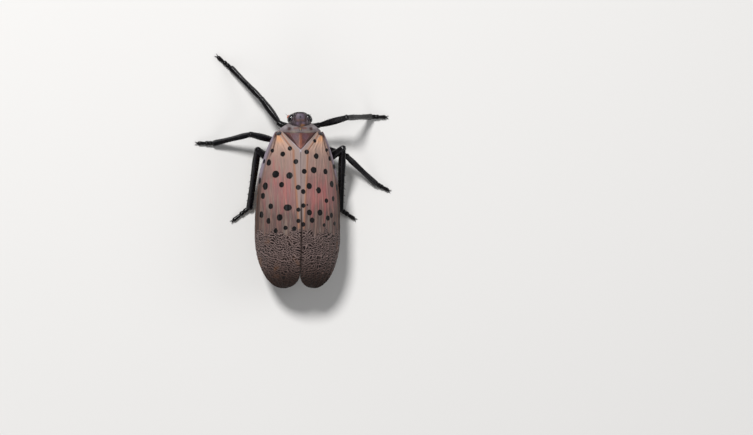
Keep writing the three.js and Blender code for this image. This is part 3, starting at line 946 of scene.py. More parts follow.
@dataclass(frozen=True)
class WingFinish:
    """The forewing's membrane: grey-tan with pink streaks, black spots and a dark netted tip."""

    net: NetPattern
    front_tone: Colour = rgb(192, 158, 140)
    painted_tones: tuple[tuple[str, Colour], ...] = (
        ("shoulder", rgb(204, 150, 112)), ("clavus", rgb(142, 127, 122)), ("band", rgb(112, 96, 96)),
        # margin: a lavender strip along the front outer edge, with a painted highlight in it
        ("suture", rgb(150, 100, 72)), ("pale", rgb(160, 150, 160)), ("margin", rgb(134, 126, 142)),
        # edge: the wing's own dark rim, with painted shade on its steep lower side
        # rust: the dark band along the border of the costal band, with painted shade at the wing's root under
        # its scales
        ("rust", rgb(56, 26, 21)), ("edge", rgb(50, 30, 22)))

    def ground(self, shader: Shader, uv: bpy.types.NodeSocket, along: bpy.types.NodeSocket,
               threads: bpy.types.NodeSocket) -> Socketed:
        """The membrane's colour before its network and spots.

        Args:
            shader: The finish under way.
            uv: The point's place on the wing.
            along: Its place along the wing.
            threads: Fine streaks along the wing.

        Returns:
            The colour.
        """
        streaks = shader.stretched_noise(uv, 0.16, 1.5, 4.0, 0.6)
        clouds = shader.stretched_noise(uv, 0.35, 0.35)
        pink = shader.math("MULTIPLY", shader.step(streaks, 0.5, 0.64, 0.5), shader.painted("blush"))
        return shader.layered(self.front_tone, [
            (shader.step(along, 0.4, 4.6), rgb(146, 118, 110)),
            (shader.step(along, 4.5, 8.0), rgb(134, 97, 95)),
            (shader.step(along, 9.0, 12.5), rgb(92, 75, 72)),
            (shader.painted("flank"), rgb(80, 62, 57)),
            (pink, rgb(168, 92, 90)),
            (shader.step(streaks, 0.5, 0.34, 0.6), rgb(122, 112, 104)),
            (shader.step(threads, 0.5, 0.68, 0.3), rgb(172, 138, 122)),
            (shader.step(threads, 0.44, 0.3, 0.32), rgb(96, 72, 64)),
            (shader.step(clouds, 0.52, 0.75, 0.4), rgb(100, 82, 74)),
            *((shader.painted(name), tone) for name, tone in self.painted_tones),
            (shader.math("MULTIPLY", shader.painted("vein"), 0.25), rgb(160, 124, 104))])

    def material(self) -> bpy.types.Material:
        """Builds the finish."""
        shader = Shader("forewing_membrane", Specular_IOR_Level=0.16, Sheen_Weight=0.02)
        uv = shader.uv()
        along = shader.node("ShaderNodeSeparateXYZ", {0: uv}).outputs[0]
        threads = shader.stretched_noise(uv, 0.5, 6.0, 3.0, 0.6)
        line = self.net.lines(shader)
        blotches = shader.stretched_noise(uv, 0.45, 0.45)
        netted = shader.mix(line,
                            shader.mix(shader.step(blotches, 0.42, 0.7), rgb(22, 14, 13), rgb(42, 29, 24)),
                            shader.mix(shader.step(along, 17.5, 22.0), rgb(124, 105, 101), rgb(68, 46, 37)))
        netted = shader.mix(shader.step(blotches, 0.6, 0.7, 0.3), netted, rgb(112, 74, 44))
        wobble = shader.stretched_noise(uv, 4.0, 4.0, 2.0)
        spot = shader.math("ADD", shader.painted("spot"), shader.math("MULTIPLY_ADD", wobble, 0.3, -0.15))
        black = shader.step(spot, 0.4, 0.52)
        colour = shader.layered(self.ground(shader, uv, along, threads), [
            (shader.painted("net"), netted),
            (shader.painted("dark"), rgb(36, 24, 20)),
            # the black spots turn lighter and bluer towards their middles: a painted highlight
            (black, shader.mix(shader.step(spot, 0.8, 1.2), rgb(5, 3, 3), rgb(14, 13, 16)))])
        thread_relief = shader.math("MULTIPLY", threads, 0.5)
        relief = shader.math("MULTIPLY_ADD", line, shader.painted("net"), thread_relief)
        return shader.dress(colour, relief, 0.02, 0.35, shader.math("MULTIPLY_ADD", black, -0.1, 0.56))


@dataclass(frozen=True)
class HindwingFinish:
    """The folded hindwing: red at the root with black spots, then white, then a black rear."""

    def material(self) -> bpy.types.Material:
        """Builds the finish."""
        shader = Shader("hindwing_membrane", roughness=0.5, Sheen_Weight=0.1)
        uv = shader.uv()
        along = shader.node("ShaderNodeSeparateXYZ", {0: uv}).outputs[0]
        streak = shader.stretched_noise(uv, 0.4, 5.0, 4.0)
        wavy = shader.math("ADD", along, shader.math("MULTIPLY", streak, 1.6))
        spots = shader.cells(shader.vectors("MULTIPLY", uv, (0.6, 0.6, 1.0)), flat=True)
        colour = shader.layered(rgb(150, 30, 24), [
            (streak, rgb(196, 58, 40)),
            (shader.step(spots, 0.26, 0.2), rgb(22, 18, 20)),
            (shader.step(wavy, 7.4, 8.0), rgb(206, 200, 190)),
            (shader.step(wavy, 9.6, 10.2), rgb(40, 42, 50))])
        return shader.dress(colour, streak, 0.03, 0.5)


@dataclass(frozen=True)
class ShellFinish:
    """Hard shell in the colours painted on it, with fine pits and a satin gloss."""

    name: str
    roughness: float = 0.5
    grain: float = 9.0
    variety: float = 0.35
    pits: float = 0.02

    def material(self) -> bpy.types.Material:
        """Builds the finish."""
        shader = Shader(self.name, roughness=self.roughness, Specular_IOR_Level=0.4, Sheen_Weight=0.08)
        place = shader.place()
        cloud = shader.noise(place, 2.2, 4.0, 0.6)
        grain = shader.noise(place, self.grain, 4.0, 0.6)
        pits = shader.cells(place, self.grain * 1.3)
        shade = shader.mix(shader.step(cloud, 0.35, 0.7), (0.62, 0.6, 0.6), (1.25, 1.22, 1.2))
        colour = shader.mix(self.variety * 2, shader.painted("tint", True), shade, "MULTIPLY")
        colour = shader.mix(shader.step(grain, 0.55, 0.8, self.variety), colour, rgb(178, 172, 168))
        return shader.dress(colour, shader.math("ADD", grain, shader.step(pits, 0.0, 0.5)), self.pits, 0.55)


@dataclass(frozen=True)
class LegFinish:
    """Black leg shell with a half gloss, and a painted highlight greying it along its ridges."""

    def material(self) -> bpy.types.Material:
        """Builds the finish."""
        shader = Shader("leg_shell", roughness=0.3, Specular_IOR_Level=0.2, Coat_Weight=0.05,
                        Coat_Roughness=0.15)
        place = shader.place()
        cloud = shader.noise(place, 1.6, 4.0, 0.6)
        grain = shader.noise(place, 14.0, 3.0, 0.6)
        colour = shader.layered(rgb(3, 3, 5), [
            (shader.step(cloud, 0.35, 0.7), rgb(16, 12, 13)),
            # the grey along the ridges is a painted highlight
            (shader.math("MULTIPLY", shader.painted("ridge"), 0.4), rgb(44, 42, 50)),
            (shader.step(grain, 0.6, 0.8, 0.25), rgb(66, 60, 60))])
        return shader.dress(colour, grain, 0.02, 0.5, shader.math("MULTIPLY_ADD", cloud, 0.3, 0.1))


@dataclass(frozen=True)
class EyeFinish:
    """Glossy black eye with the fine dimples of its facets."""

    def material(self) -> bpy.types.Material:
        """Builds the finish."""
        shader = Shader("eye_facets", roughness=0.12, Specular_IOR_Level=0.45, Coat_Weight=0.3,
                        Coat_Roughness=0.05)
        place = shader.place()
        facets = shader.cells(place, 26.0, loose=0.15)
        cloud = shader.noise(place, 2.5, 2.0)
        colour = shader.mix(shader.step(cloud, 0.4, 0.65), rgb(5, 5, 8), rgb(16, 12, 18))
        return shader.dress(colour, shader.step(facets, 0.6, 0.0), 0.008, 0.35)


@dataclass(frozen=True)
class PlainFinish:
    """A small piece of one substance, with clouds of a second tone and a fine grain."""

    name: str
    light: Colour
    dark: Colour
    roughness: float = 0.4
    scale: float = 4.0
    grain: float = 16.0

    def material(self) -> bpy.types.Material:
        """Builds the finish."""
        shader = Shader(self.name, roughness=self.roughness, Specular_IOR_Level=0.5)
        place = shader.place()
        cloud = shader.noise(place, self.scale, 4.0, 0.6)
        colour = shader.mix(shader.step(cloud, 0.35, 0.68), self.dark, self.light)
        return shader.dress(colour, shader.noise(place, self.grain, 3.0), 0.015, 0.5)


@dataclass(frozen=True)
class Roof:
    """The shape of the folded wings over the body. Angle 0 is the ridge, a quarter turn the lower edge."""

    front: float = -5.35
    widest: float = 9.5
    tip: float = 17.2
    front_half_width: float = 3.45
    half_width: float = 6.15
    front_taper: float = 2.9
    tip_offset: float = 2.2
    notch_start: float = 15.2
    seam: float = 0.03
    pitch: float = 0.22
    shield_tip: float = -2.65
    shield_slope: float = 0.94
    ridge: tuple[tuple[float, float], ...] = (
        (-5.4, 9.3), (-2.6, 9.7), (3, 10.4), (9, 11.0), (12, 10.5), (14.8, 9.1), (16.3, 7.8),
        (16.9, 7.25), (17.2, 6.75))
    edge: tuple[tuple[float, float], ...] = (
        (-5.4, 7.0), (-4.6, 6.8), (-0.2, 5.3), (5.7, 4.4), (8.5, 4.1), (12.2, 4.1), (14.6, 4.5), (16.1, 5.0),
        (16.9, 5.38), (17.2, 5.85))

    def width_at(self, y: Values) -> np.ndarray:
        """Half width of the folded wings, seen from above.

        Args:
            y: Places along the body.

        Returns:
            The half widths there.
        """
        y = np.asarray(y, float)
        ahead = np.clip((self.widest - y) / (self.widest - self.front), 0, 2)
        before = self.half_width - (self.half_width - self.front_half_width) * ahead**self.front_taper
        turn = np.clip((y - self.widest) / (self.tip - self.widest), 0, 1)
        after = self.tip_offset + (self.half_width - self.tip_offset) * np.sqrt(1 - turn**2)
        return np.where(y < self.widest, before, after)

    def point(self, y: Values, angle: Values) -> np.ndarray:
        """A point of the roof on the left side.

        Args:
            y: Its place along the body.
            angle: Its turn from the ridge.

        Returns:
            The point.
        """
        top = curve_through(self.ridge)(y)
        drop = top - curve_through(self.edge)(y)
        fall = (1 - self.pitch) * (1 - np.cos(angle)) + self.pitch * np.sin(angle)
        x = self.width_at(y) * np.sin(angle)
        return np.stack([x, np.asarray(y, float) + 0 * angle, top - drop * fall], -1)

    def offset(self, y: Values, angle: Values, height: Values) -> np.ndarray:
        """A point moved out of the roof.

        Args:
            y: Its place along the body.
            angle: Its turn from the ridge.
            height: How far out it moves, or in where this is below 0.

        Returns:
            The moved point.
        """
        step = 0.01
        along = self.point(y + step, angle) - self.point(y - step, angle)
        across = self.point(y, angle + step) - self.point(y, angle - step)
        out = np.cross(across, along)
        out = out / np.maximum(np.linalg.norm(out, axis=-1, keepdims=True), 1e-9)
        inward = (out[..., 0] < 0) & (out[..., 2] < 0)
        out = np.where(inward[..., None], -out, out)
        return self.point(y, angle) + out * np.asarray(height)[..., None]

    def shield_half_width(self, y: np.ndarray) -> np.ndarray:
        """Half width of the shield between the wings, with what the wings cover of it."""
        return np.maximum(self.seam + (self.shield_tip - y) * self.shield_slope + 0.12, 0.1)

    def inner_margin(self, y: np.ndarray) -> np.ndarray:
        """Distance of a forewing's inner margin from the middle plane.

        Args:
            y: Places along the body.

        Returns:
            The distances there.
        """
        beside_shield = self.seam + np.maximum(self.shield_tip - y, 0) * self.shield_slope
        turn = np.clip((y - self.notch_start) / (self.tip - self.notch_start), 0, 1)
        return beside_shield + (self.tip_offset - self.seam) * (1 - np.sqrt(1 - turn**2))

    def arc(self, y: np.ndarray) -> np.ndarray:
        """Length of the roof's surface from the ridge to the lower edge.

        Args:
            y: Places along the body, in one row.

        Returns:
            The lengths there.
        """
        points = self.point(*np.meshgrid(y, np.linspace(0, QUARTER_TURN, 24), indexing="ij"))
        return np.linalg.norm(np.diff(points, axis=1), axis=2).sum(1)

    def level(self, x: np.ndarray, y: np.ndarray) -> np.ndarray:
        """Height of the roof over points of the floor plan."""
        return self.point(y, np.arcsin(np.clip(np.abs(x) / self.width_at(y), 0, 1)))[..., 2]


ROOF = Roof()


@dataclass(frozen=True)
class Vein:
    """A main vein: its place across the wing at root and tip, and where along the wing it starts and ends."""

    root: float
    tip: float
    starts: float = 0.0
    ends: float = 1.0


@dataclass(frozen=True)
class Spot:
    """A black spot: its place along the body and beside the middle plane, seen from above, and its size."""

    along: float
    beside: float
    radius: float
    stretch: float = 1.0


SPOTS = {
    Side.LEFT: (
        Spot(-2.6, 3.9, 0.27), Spot(-2.9, 1.5, 0.3), Spot(-2.1, 2.5, 0.33), Spot(-0.9, 4.4, 0.42),
        Spot(-1.1, 5.0, 0.3), Spot(-1.0, 0.7, 0.33), Spot(0.8, 3.5, 0.46, 1.15), Spot(1.0, 1.6, 0.43),
        Spot(1.7, 5.6, 0.42), Spot(2.3, 2.7, 0.36), Spot(2.5, 4.9, 0.48), Spot(2.7, 0.4, 0.33),
        Spot(3.5, 5.9, 0.38), Spot(3.9, 5.2, 0.4), Spot(5.3, 6.05, 0.42), Spot(5.4, 4.2, 0.38),
        Spot(5.6, 1.9, 0.42, 1.35), Spot(5.9, 0.4, 0.28), Spot(6.6, 5.4, 0.43), Spot(7.0, 3.0, 0.42),
        Spot(7.5, 4.5, 0.38), Spot(7.5, 0.4, 0.28), Spot(8.9, 3.5, 0.33), Spot(8.5, 2.2, 0.3),
        Spot(8.6, 1.0, 0.3)),
    Side.RIGHT: (
        Spot(-4.0, 2.1, 0.24), Spot(-2.4, 0.9, 0.32), Spot(-2.7, 3.9, 0.24), Spot(-1.8, 2.3, 0.37),
        Spot(-1.5, 4.4, 0.32), Spot(-0.3, 5.1, 0.34), Spot(0.4, 0.5, 0.33), Spot(0.2, 1.9, 0.42),
        Spot(0.4, 3.7, 0.37), Spot(2.2, 4.7, 0.42), Spot(2.7, 5.5, 0.4), Spot(2.5, 1.2, 0.4),
        Spot(3.3, 0.3, 0.32), Spot(3.1, 2.6, 0.4), Spot(4.6, 3.8, 0.3), Spot(4.3, 4.9, 0.33),
        Spot(5.3, 0.3, 0.3), Spot(5.2, 0.9, 0.12), Spot(6.3, 1.2, 0.38), Spot(6.3, 2.8, 0.4),
        Spot(6.7, 4.6, 0.34), Spot(7.1, 4.0, 0.33), Spot(7.4, 1.6, 0.35), Spot(8.0, 0.25, 0.3),
        Spot(8.1, 3.4, 0.26), Spot(7.9, 5.1, 0.33)),
}


@dataclass(frozen=True)
class Forewing:
    """One folded forewing: a thin veined membrane that follows the roof."""

    side: Side
    front_rows: int = 135
    middle_rows: int = 15
    net_rows: int = 210
    columns: int = 128
    last_turn: float = 0.955
    thickness: float = 0.16
    vein_height: float = 0.1
    vein_reach: float = 0.085
    suture_reach: float = 0.13
    net_start: float = 8.9
    spot_size: float = 1.09
    right_pattern: float = 40.0
    through: tuple[str, ...] = ("edge", "dark", "blush")
    veins: tuple[Vein, ...] = (
        Vein(0.17, 0.035, 0, 0.64), Vein(0.3, 0.2), Vein(0.37, 0.35, 0.4), Vein(0.46, 0.48),
        Vein(0.54, 0.62, 0.48), Vein(0.66, 0.75), Vein(0.84, 0.88))

    def stations(self) -> np.ndarray:
        """Places of the rows along the body, closer together in the netted tip."""
        front = np.linspace(ROOF.front, self.net_start, self.front_rows, endpoint=False)
        middle = np.linspace(self.net_start, ROOF.widest, self.middle_rows, endpoint=False)
        turn = np.linspace(0, QUARTER_TURN * self.last_turn, self.net_rows)
        return np.concatenate([front, middle, ROOF.widest + (ROOF.tip - ROOF.widest) * np.sin(turn)])

    def crests(self, along: np.ndarray, share: np.ndarray, width: np.ndarray) -> tuple[np.ndarray, np.ndarray]:
        """The main veins, and the suture that the first of them lies in.

        Args:
            along: Places along the wing, 0 to 1.
            share: Places across it, 0 to 1.
            width: Its width there.

        Returns:
            How close each place is to a vein and to the suture, 0 to 1.
        """
        reach = np.minimum(self.vein_reach, 0.02 * width)
        vein = suture = np.zeros_like(along)
        for number, line in enumerate(self.veins):
            place = line.tip + (line.root - line.tip) * (1 - np.minimum(along / line.ends, 1)) ** 1.5
            distance = np.abs(share - place) * width
            present = np.ones_like(along)
            if line.starts:
                present = smooth(line.starts - 0.02, line.starts + 0.03, along)
            if line.ends < 1:
                present = present * (1 - smooth(line.ends - 0.04, line.ends, along))
            vein = np.maximum(vein, bell(distance, reach) * present)
            if number == 0:
                suture = bell(distance, self.suture_reach) * present
        return vein, suture

    def spotted(self, surface: np.ndarray) -> np.ndarray:
        """The spots: 1.5 at a spot's middle, 0.5 at its edge and less beyond.

        Args:
            surface: Points of the wing.

        Returns:
            The value at each point.
        """
        spot = np.full(surface.shape[:2], -1.0)
        for mark in SPOTS[self.side]:
            sine = min(mark.beside / float(ROOF.width_at(mark.along)), 1.0)
            step = surface - ROOF.point(np.array(mark.along), np.array(math.asin(sine)))
            lengthwise = step[..., 1] / (mark.radius * self.spot_size)
            crosswise = np.hypot(step[..., 0], step[..., 2]) / (mark.radius * self.spot_size * mark.stretch)
            spot = np.maximum(spot, 1.5 - np.hypot(lengthwise, crosswise))
        return spot

    def markings(self, y: np.ndarray, share: np.ndarray, width: np.ndarray, angle: np.ndarray,
                 v: np.ndarray) -> dict[str, np.ndarray]:
        """Where the membrane's coloured areas lie.

        Args:
            y: Places along the body.
            share: Places across the wing, 0 to 1.
            width: The wing's width there.
            angle: Turns from the ridge.
            v: Lengths over the roof from the ridge.

        Returns:
            The areas by name, each 0 to 1.
        """
        along = (y - ROOF.front) / (ROOF.tip - ROOF.front)
        inward, outward = share * width, (1 - share) * width
        wave = 0.35 * np.sin(v * 1.9) + 0.2 * np.sin(v * 4.7 + 1)
        border = np.interp(y, (-5.0, -4.0, -2.0, 0.0, 3.0), (0.55, 0.62, 0.7, 0.77, 0.86))
        claval = np.clip(1 - inward / np.maximum(0.25 + 0.9 * (1 - along / 0.64), 0.05), 0, 1)
        rust = smooth(-1.0, -2.6, y) * bell((border - 0.05 - share) * width, 0.17) * 0.85
        # root: painted shade on the wing's root, under the scales over it
        root = smooth(-4.0, -4.8, y) * smooth(0.46, 0.54, share) * smooth(0.82, 0.7, share) * 0.95
        beside_shield = bell(inward - 0.05, 0.05) * smooth(-4.4, -3.6, y) * smooth(-2.0, -2.6, y)
        beside_seam = bell(inward, 0.2) * smooth(-2.7, -2.3, y) * smooth(5.0, 2.5, y) * 0.12
        dark = smooth(14.6, 17.0, y) * 0.8 + bell(outward, 0.14) * smooth(0.7, 0.8, along)
        seam_dark = bell(inward, 0.1) * smooth(3.5, 6.0, y) * 0.85
        return {
            "net": smooth(self.net_start - 0.1, self.net_start + 0.45, y + wave),
            # edge darkens the steep lower side of the wing's rear: partly its own dark rim, partly painted
            # shade
            "edge": smooth(0.0, 4.0, y) * smooth(0.88, 0.97, np.sin(angle)) * 0.85,
            # the rust mark also carries the painted shade at the root
            "rust": np.maximum(rust, root),
            "shoulder": bell(y + 4.4, 0.6) * smooth(0.18, 0.3, share) * smooth(0.56, 0.46, share),
            "flank": smooth(0.5, 0.85, share) * smooth(-3.0, 1.0, y) * 0.75,
            "band": smooth(-0.03, 0.03, share - border) * smooth(5.5, 2.0, y),
            "clavus": smooth(0.0, 0.25, claval) * smooth(0.66, 0.5, along) * 0.75,
            "pale": np.maximum(beside_shield, beside_seam),
            # margin paints the lavender strip along the front lower edge together with a painted highlight on
            # it
            "margin": smooth(0.93, 0.97, np.sin(angle)) * smooth(2.5, 0.5, y) * 0.8,
            "dark": np.clip(np.maximum(dark, seam_dark), 0, 1),
            "blush": smooth(-3.0, 0.0, y) * smooth(9.5, 6.5, y) * smooth(0.8, 0.45, share)
            * smooth(0.05, 0.2, share),
        }

    def shape(self) -> Shape:
        """The wing's surface, with its markings painted on and its UV in wing millimetres."""
        y, share = np.meshgrid(self.stations(), np.linspace(0, 1, self.columns), indexing="ij")
        inner = np.arcsin(np.clip(ROOF.inner_margin(y) / ROOF.width_at(y), 0, 1))
        angle = inner + (QUARTER_TURN - inner) * share
        arc = np.repeat(ROOF.arc(y[:, 0])[:, None], self.columns, 1)
        width = arc * (1 - inner / QUARTER_TURN)
        vein, suture = self.crests((y - ROOF.front) / (ROOF.tip - ROOF.front), share, width)
        rim = bell((1 - share) * width, 0.12) + bell(share * width, 0.1)
        grain = 0.012 * np.sin(share * width * 14 + 3 * np.sin(y * 0.8))
        height = (self.vein_height * vein + 0.04 * rim + grain) * np.minimum(1, width / 5)
        outer = ROOF.offset(y, angle, height)
        lower = ROOF.offset(y, angle, height * 0.3 - self.thickness * np.minimum(1, 0.35 + width))
        v = angle / QUARTER_TURN * arc
        shape = sheet(outer, lower)
        values = {"vein": vein, "suture": suture * 0.8, "spot": self.spotted(outer),
                  **self.markings(y, share, width, angle, v)}
        for key, value in values.items():
            above = value.ravel()
            shape.paint[key] = np.concatenate([above, above if key in self.through else 0 * above])
        uv = np.stack([y - ROOF.front, v], -1).reshape(-1, 2)
        shape.uv = np.concatenate([uv, uv]) + (0.0, 0.0 if self.side is Side.LEFT else self.right_pattern)
        return shape.on(self.side)

    def build(self, material: bpy.types.Material, net: GeometryTree) -> None:
        """Builds the wing and raises its network of veins.

        Args:
            material: The membrane's finish.
            net: The tree that raises the network.
        """
        name = f"forewing_{self.side.word}"
        settle(net.run(place_object(name + "_membrane", self.shape(), material)), [name])


@dataclass(frozen=True)
class Hindwing:
    """One folded hindwing, pleated inside the roof of the forewings."""

    side: Side
    front: float = -2.2
    rear: float = 14.2
    inner_angle: float = 0.2
    middle_angle: float = 0.8
    outer_angle: float = 1.5
    narrows_from: float = 0.55
    narrows_over: float = 0.46
    depth: float = 0.95
    thickness: float = 0.12
    folds: int = 11
    fold_height: float = 0.14
    rows: int = 120
    columns: int = 100

    def shape(self) -> Shape:
        """The wing's pleated surface."""
        along, across = np.meshgrid(np.linspace(0, 1, self.rows), np.linspace(0, 1, self.columns),
                                    indexing="ij")
        y = self.front + (self.rear - self.front) * np.sin(along * QUARTER_TURN)
        narrowing = np.sqrt(1 - (np.maximum(along - self.narrows_from, 0) / self.narrows_over) ** 2)
        spread = narrowing * np.minimum(0.35 + along * 2.2, 1)
        turned = self.inner_angle + (self.outer_angle - self.inner_angle) * across
        angle = self.middle_angle + (turned - self.middle_angle) * spread
        fold = self.fold_height * (0.5 - 0.5 * np.cos(across * self.folds * FULL_TURN)) * spread
        outer = ROOF.offset(y, angle, fold - self.depth)
        shape = sheet(outer, ROOF.offset(y, angle, fold - self.depth - self.thickness))
        uv = np.stack([y - self.front, across * 6], -1).reshape(-1, 2)
        shape.uv = np.concatenate([uv, uv])
        return shape.on(self.side)

    def build(self, material: bpy.types.Material) -> None:
        """Builds the wing in its finish."""
        name = f"hindwing_{self.side.word}"
        settle(place_object(name + "_membrane", self.shape(), material), [name])


@dataclass(frozen=True)
class Head:
    """The head: skull, keeled face, eye rims, feeler sockets and the marks on them."""

    stations: tuple[tuple[float, ...], ...] = (
        (-8.15, 0.5, 8.98, 8.0), (-8.0, 0.9, 9.2, 7.4), (-7.7, 1.14, 9.33, 7.0), (-7.3, 1.32, 9.4, 6.5),
        (-6.95, 1.4, 9.4, 6.3), (-6.6, 1.56, 9.36, 6.2), (-6.3, 1.5, 9.3, 6.3), (-5.95, 0.9, 9.2, 6.6))
    face_keel: tuple[Point, ...] = (
        (0.5, -8.08, 9.1), (0.94, -7.95, 8.4), (0.74, -7.95, 7.2), (0.34, -7.65, 5.9))
    crown_keel: tuple[Point, ...] = (
        (1.2, -6.35, 9.2), (1.0, -6.9, 9.32), (0.82, -7.5, 9.32), (0.5, -7.98, 9.18), (0, -8.1, 9.14))
    swellings: tuple[tuple[Point, Point], ...] = (
        ((1.0, -7.3, 7.45), (0.48, 0.55, 0.75)), ((1.1, -7.4, 7.08), (0.33, 0.33, 0.3)),
        ((1.4, -6.38, 8.05), (0.36, 0.34, 0.7)), ((0.45, -6.3, 6.7), (0.75, 0.6, 1.3)))
    eye_centre: Point = (1.25, -7.25, 8.44)
    eye_radii: Point = (0.48, 0.71, 0.56)
    eye_turn: float = 0.56
    rim_radius: float = 0.07
    rim_depth: float = 0.2
    voxel: float = 0.036

    def spin(self, side: int) -> np.ndarray:
        """The turn between the body's axes and an eye's."""
        cosine, sine = math.cos(self.eye_turn * side), math.sin(self.eye_turn * side)
        return np.array(((cosine, sine, 0), (-sine, cosine, 0), (0, 0, 1)))

    def from_eye(self, points: np.ndarray, side: int) -> np.ndarray:
        """Points as seen from an eye: its middle is the origin and its radii are 1."""
        return ((points - on_side(self.eye_centre, side)) @ self.spin(side)) / np.array(self.eye_radii)

    def beside_eye(self, points: np.ndarray, side: int) -> np.ndarray:
        """The way back from such points to the body."""
        return (points * np.array(self.eye_radii)) @ self.spin(side).T + on_side(self.eye_centre, side)

    def face(self) -> Shape:
        """The face, which narrows downwards to the beak."""
        top, bottom, front, chin = 8.6, 5.5, -8.02, -7.25
        share = np.linspace(0, 1, 20)
        angle = around(36)
        depth = 0.82 - 0.37 * share
        half = 1.02 - 0.72 * share**0.8
        x = half[:, None] * np.cos(angle)
        y = (front + (chin - front) * share**1.6 + depth)[:, None] + depth[:, None] * np.sin(angle)
        z = np.repeat((top + (bottom - top) * share)[:, None], len(angle), 1)
        return lofted(np.stack([x, y, z], -1))

    def eye_rim(self, side: int) -> Shape:
        """The raised rim round an eye.

        Args:
            side: The side, as the sign of x.

        Returns:
            The rim.
        """
        count, sides = 48, 10
        angle, section = around(count), around(sides)
        swell = self.rim_radius / self.eye_radii[0]
        out = np.stack([0 * angle, np.cos(angle), np.sin(angle)], -1)
        grid = out[:, None] * (1.0 + swell * np.cos(section))[None, :, None]
        grid[:, :, 0] = side * (swell * np.sin(section) - self.rim_depth)
        faces: list[tuple[int, ...]] = []
        for r in range(count):
            here, ahead = r * sides, (r + 1) % count * sides
            for s in range(sides):
                after = (s + 1) % sides
                faces.append((here + s, here + after, ahead + after, ahead + s))
        return Shape(self.beside_eye(grid.reshape(-1, 3), side), faces)

    def skin(self) -> Shape:
        """The head's whole skin, melted into one surface."""
        parts = [lofted(body_rings(self.stations, 40, 56, 0.58)), self.face()]
        for side in BOTH_SIDES:
            parts.append(self.eye_rim(side))
            parts.append(tube([on_side(p, side) for p in self.face_keel], [0.06, 0.08, 0.08, 0.06], 8, 30))
            parts += [ellipsoid(on_side(middle, side), radii, rows=14) for middle, radii in self.swellings]
            parts.append(tube([on_side(p, side) for p in self.crown_keel],
                              [0.05, 0.06, 0.06, 0.07, 0.07], 8, 36))
        parts.append(tube([(0, -8.1, 8.9), (0, -8.02, 7.6), (0, -7.65, 6.0)], [0.05, 0.06, 0.05], 8, 24))
        parts.append(tube([(0, -7.3, 9.38), (0, -6.8, 9.41), (0, -6.2, 9.33)], [0.04, 0.05, 0.04], 8, 16))
        parts.append(ellipsoid((0, -7.05, 5.75), (0.36, 0.48, 0.42), rows=14))
        return fused(parts, self.voxel, 4)

    def painted(self) -> Shape:
        """The skin with the head's marks."""
        shape = self.skin()
        p = shape.points
        canvas = Canvas(shape, rgb(68, 54, 60))
        canvas.layer(smooth(8.6, 7.6, p[:, 2]) * 0.8, rgb(116, 98, 92))
        canvas.layer(smooth(6.4, 5.7, p[:, 2]) * 0.8, rgb(44, 36, 36))
        canvas.layer(smooth(-7.2, -6.7, p[:, 1]) * smooth(0.9, 1.3, np.abs(p[:, 0])) * 0.75, rgb(40, 34, 38))
        canvas.blot((0, -7.72, 9.3), (0.5, 0.32, 0.3), rgb(90, 78, 95), 0.5, 0.85)
        canvas.blot((0.34, -7.35, 9.4), (0.3, 0.3, 0.3), rgb(88, 76, 92), 0.5, 0.6)
        canvas.blot((0.4, -6.5, 9.4), (0.26, 0.18, 0.3), rgb(110, 94, 116), 0.7, 0.7)
        canvas.blot((0.72, -7.0, 9.35), (0.16, 0.36, 0.3), rgb(50, 30, 30), 0.5, 0.9)
        canvas.blot((1.0, -6.75, 9.3), (0.14, 0.26, 0.3), rgb(108, 96, 104), 0.5, 0.7)
        canvas.blot((0.8, -6.3, 9.3), (0.3, 0.14, 0.3), rgb(46, 34, 42), 0.5, 0.8)
        canvas.blot((0.3, -6.95, 9.4), (0.26, 0.16, 0.3), rgb(92, 58, 52), 0.7, 0.7)
        canvas.blot((0.2, -6.45, 9.4), (0.1, 0.2, 0.3), rgb(74, 52, 54), 0.5, 0.7)
        canvas.blot((0, -7.45, 9.4), (0.14, 0.16, 0.3), rgb(22, 16, 28), 0.4)
        canvas.blot((-0.35, -6.15, 9.35), (0.36, 0.27, 0.3), rgb(126, 86, 50), 0.6, 0.9, both=False)
        canvas.blot((1.3, -7.4, 7.2), (0.5, 0.5, 0.6), rgb(156, 142, 138), 0.6, 0.5)
        canvas.layer(smooth(-7.86, -8.0, p[:, 1]) * smooth(8.7, 9.0, p[:, 2]), rgb(30, 24, 26))
        corner = smooth(0.62, 0.85, np.abs(p[:, 0])) * smooth(-7.3, -7.6, p[:, 1]) * smooth(8.4, 8.8, p[:, 2])
        canvas.layer(corner, rgb(26, 22, 26))
        for side in BOTH_SIDES:
            rim = smooth(1.2, 1.08, np.linalg.norm(self.from_eye(p, side), axis=1))
            canvas.layer(rim * smooth(9.0, 8.7, p[:, 2]) * 0.8, rgb(168, 158, 152))
            canvas.layer(rim * smooth(8.75, 9.0, p[:, 2]) * 0.7, rgb(52, 46, 52))
        return canvas.painted()

    def build(self, shell: bpy.types.Material, eye: bpy.types.Material) -> None:
        """Builds the head's skin and its eyes.

        Args:
            shell: The skin's finish.
            eye: The eyes' finish.
        """
        settle(place_object("head_skin", self.painted(), shell), ["head"])
        for side in Side:
            ball = ellipsoid(on_side(self.eye_centre, side.value), self.eye_radii,
                             -self.eye_turn * side.value, 40)
            settle(place_object(f"eye_{side.word}_lens", ball, eye), [f"eye_{side.word}"])


def guide_object(name: str, shape: Shape, directions: np.ndarray) -> bpy.types.Object:
    """Loose points that carry a length and a direction, for a tree to set spikes on.

    Args:
        name: The piece's name.
        shape: The points and their lengths.
        directions: The way each spike points.

    Returns:
        The object.
    """
    mesh = bpy.data.meshes.new(name)
    mesh.from_pydata(PLACE.metres(shape.points).tolist(), [], [])
    lengths = mesh.attributes.new("length", "FLOAT", "POINT")
    lengths.data.foreach_set("value", shape.paint["length"].astype(np.float32))
    ways = mesh.attributes.new("direction", "FLOAT_VECTOR", "POINT")
    ways.data.foreach_set("vector", directions.astype(np.float32).ravel())
    return linked(name, mesh)


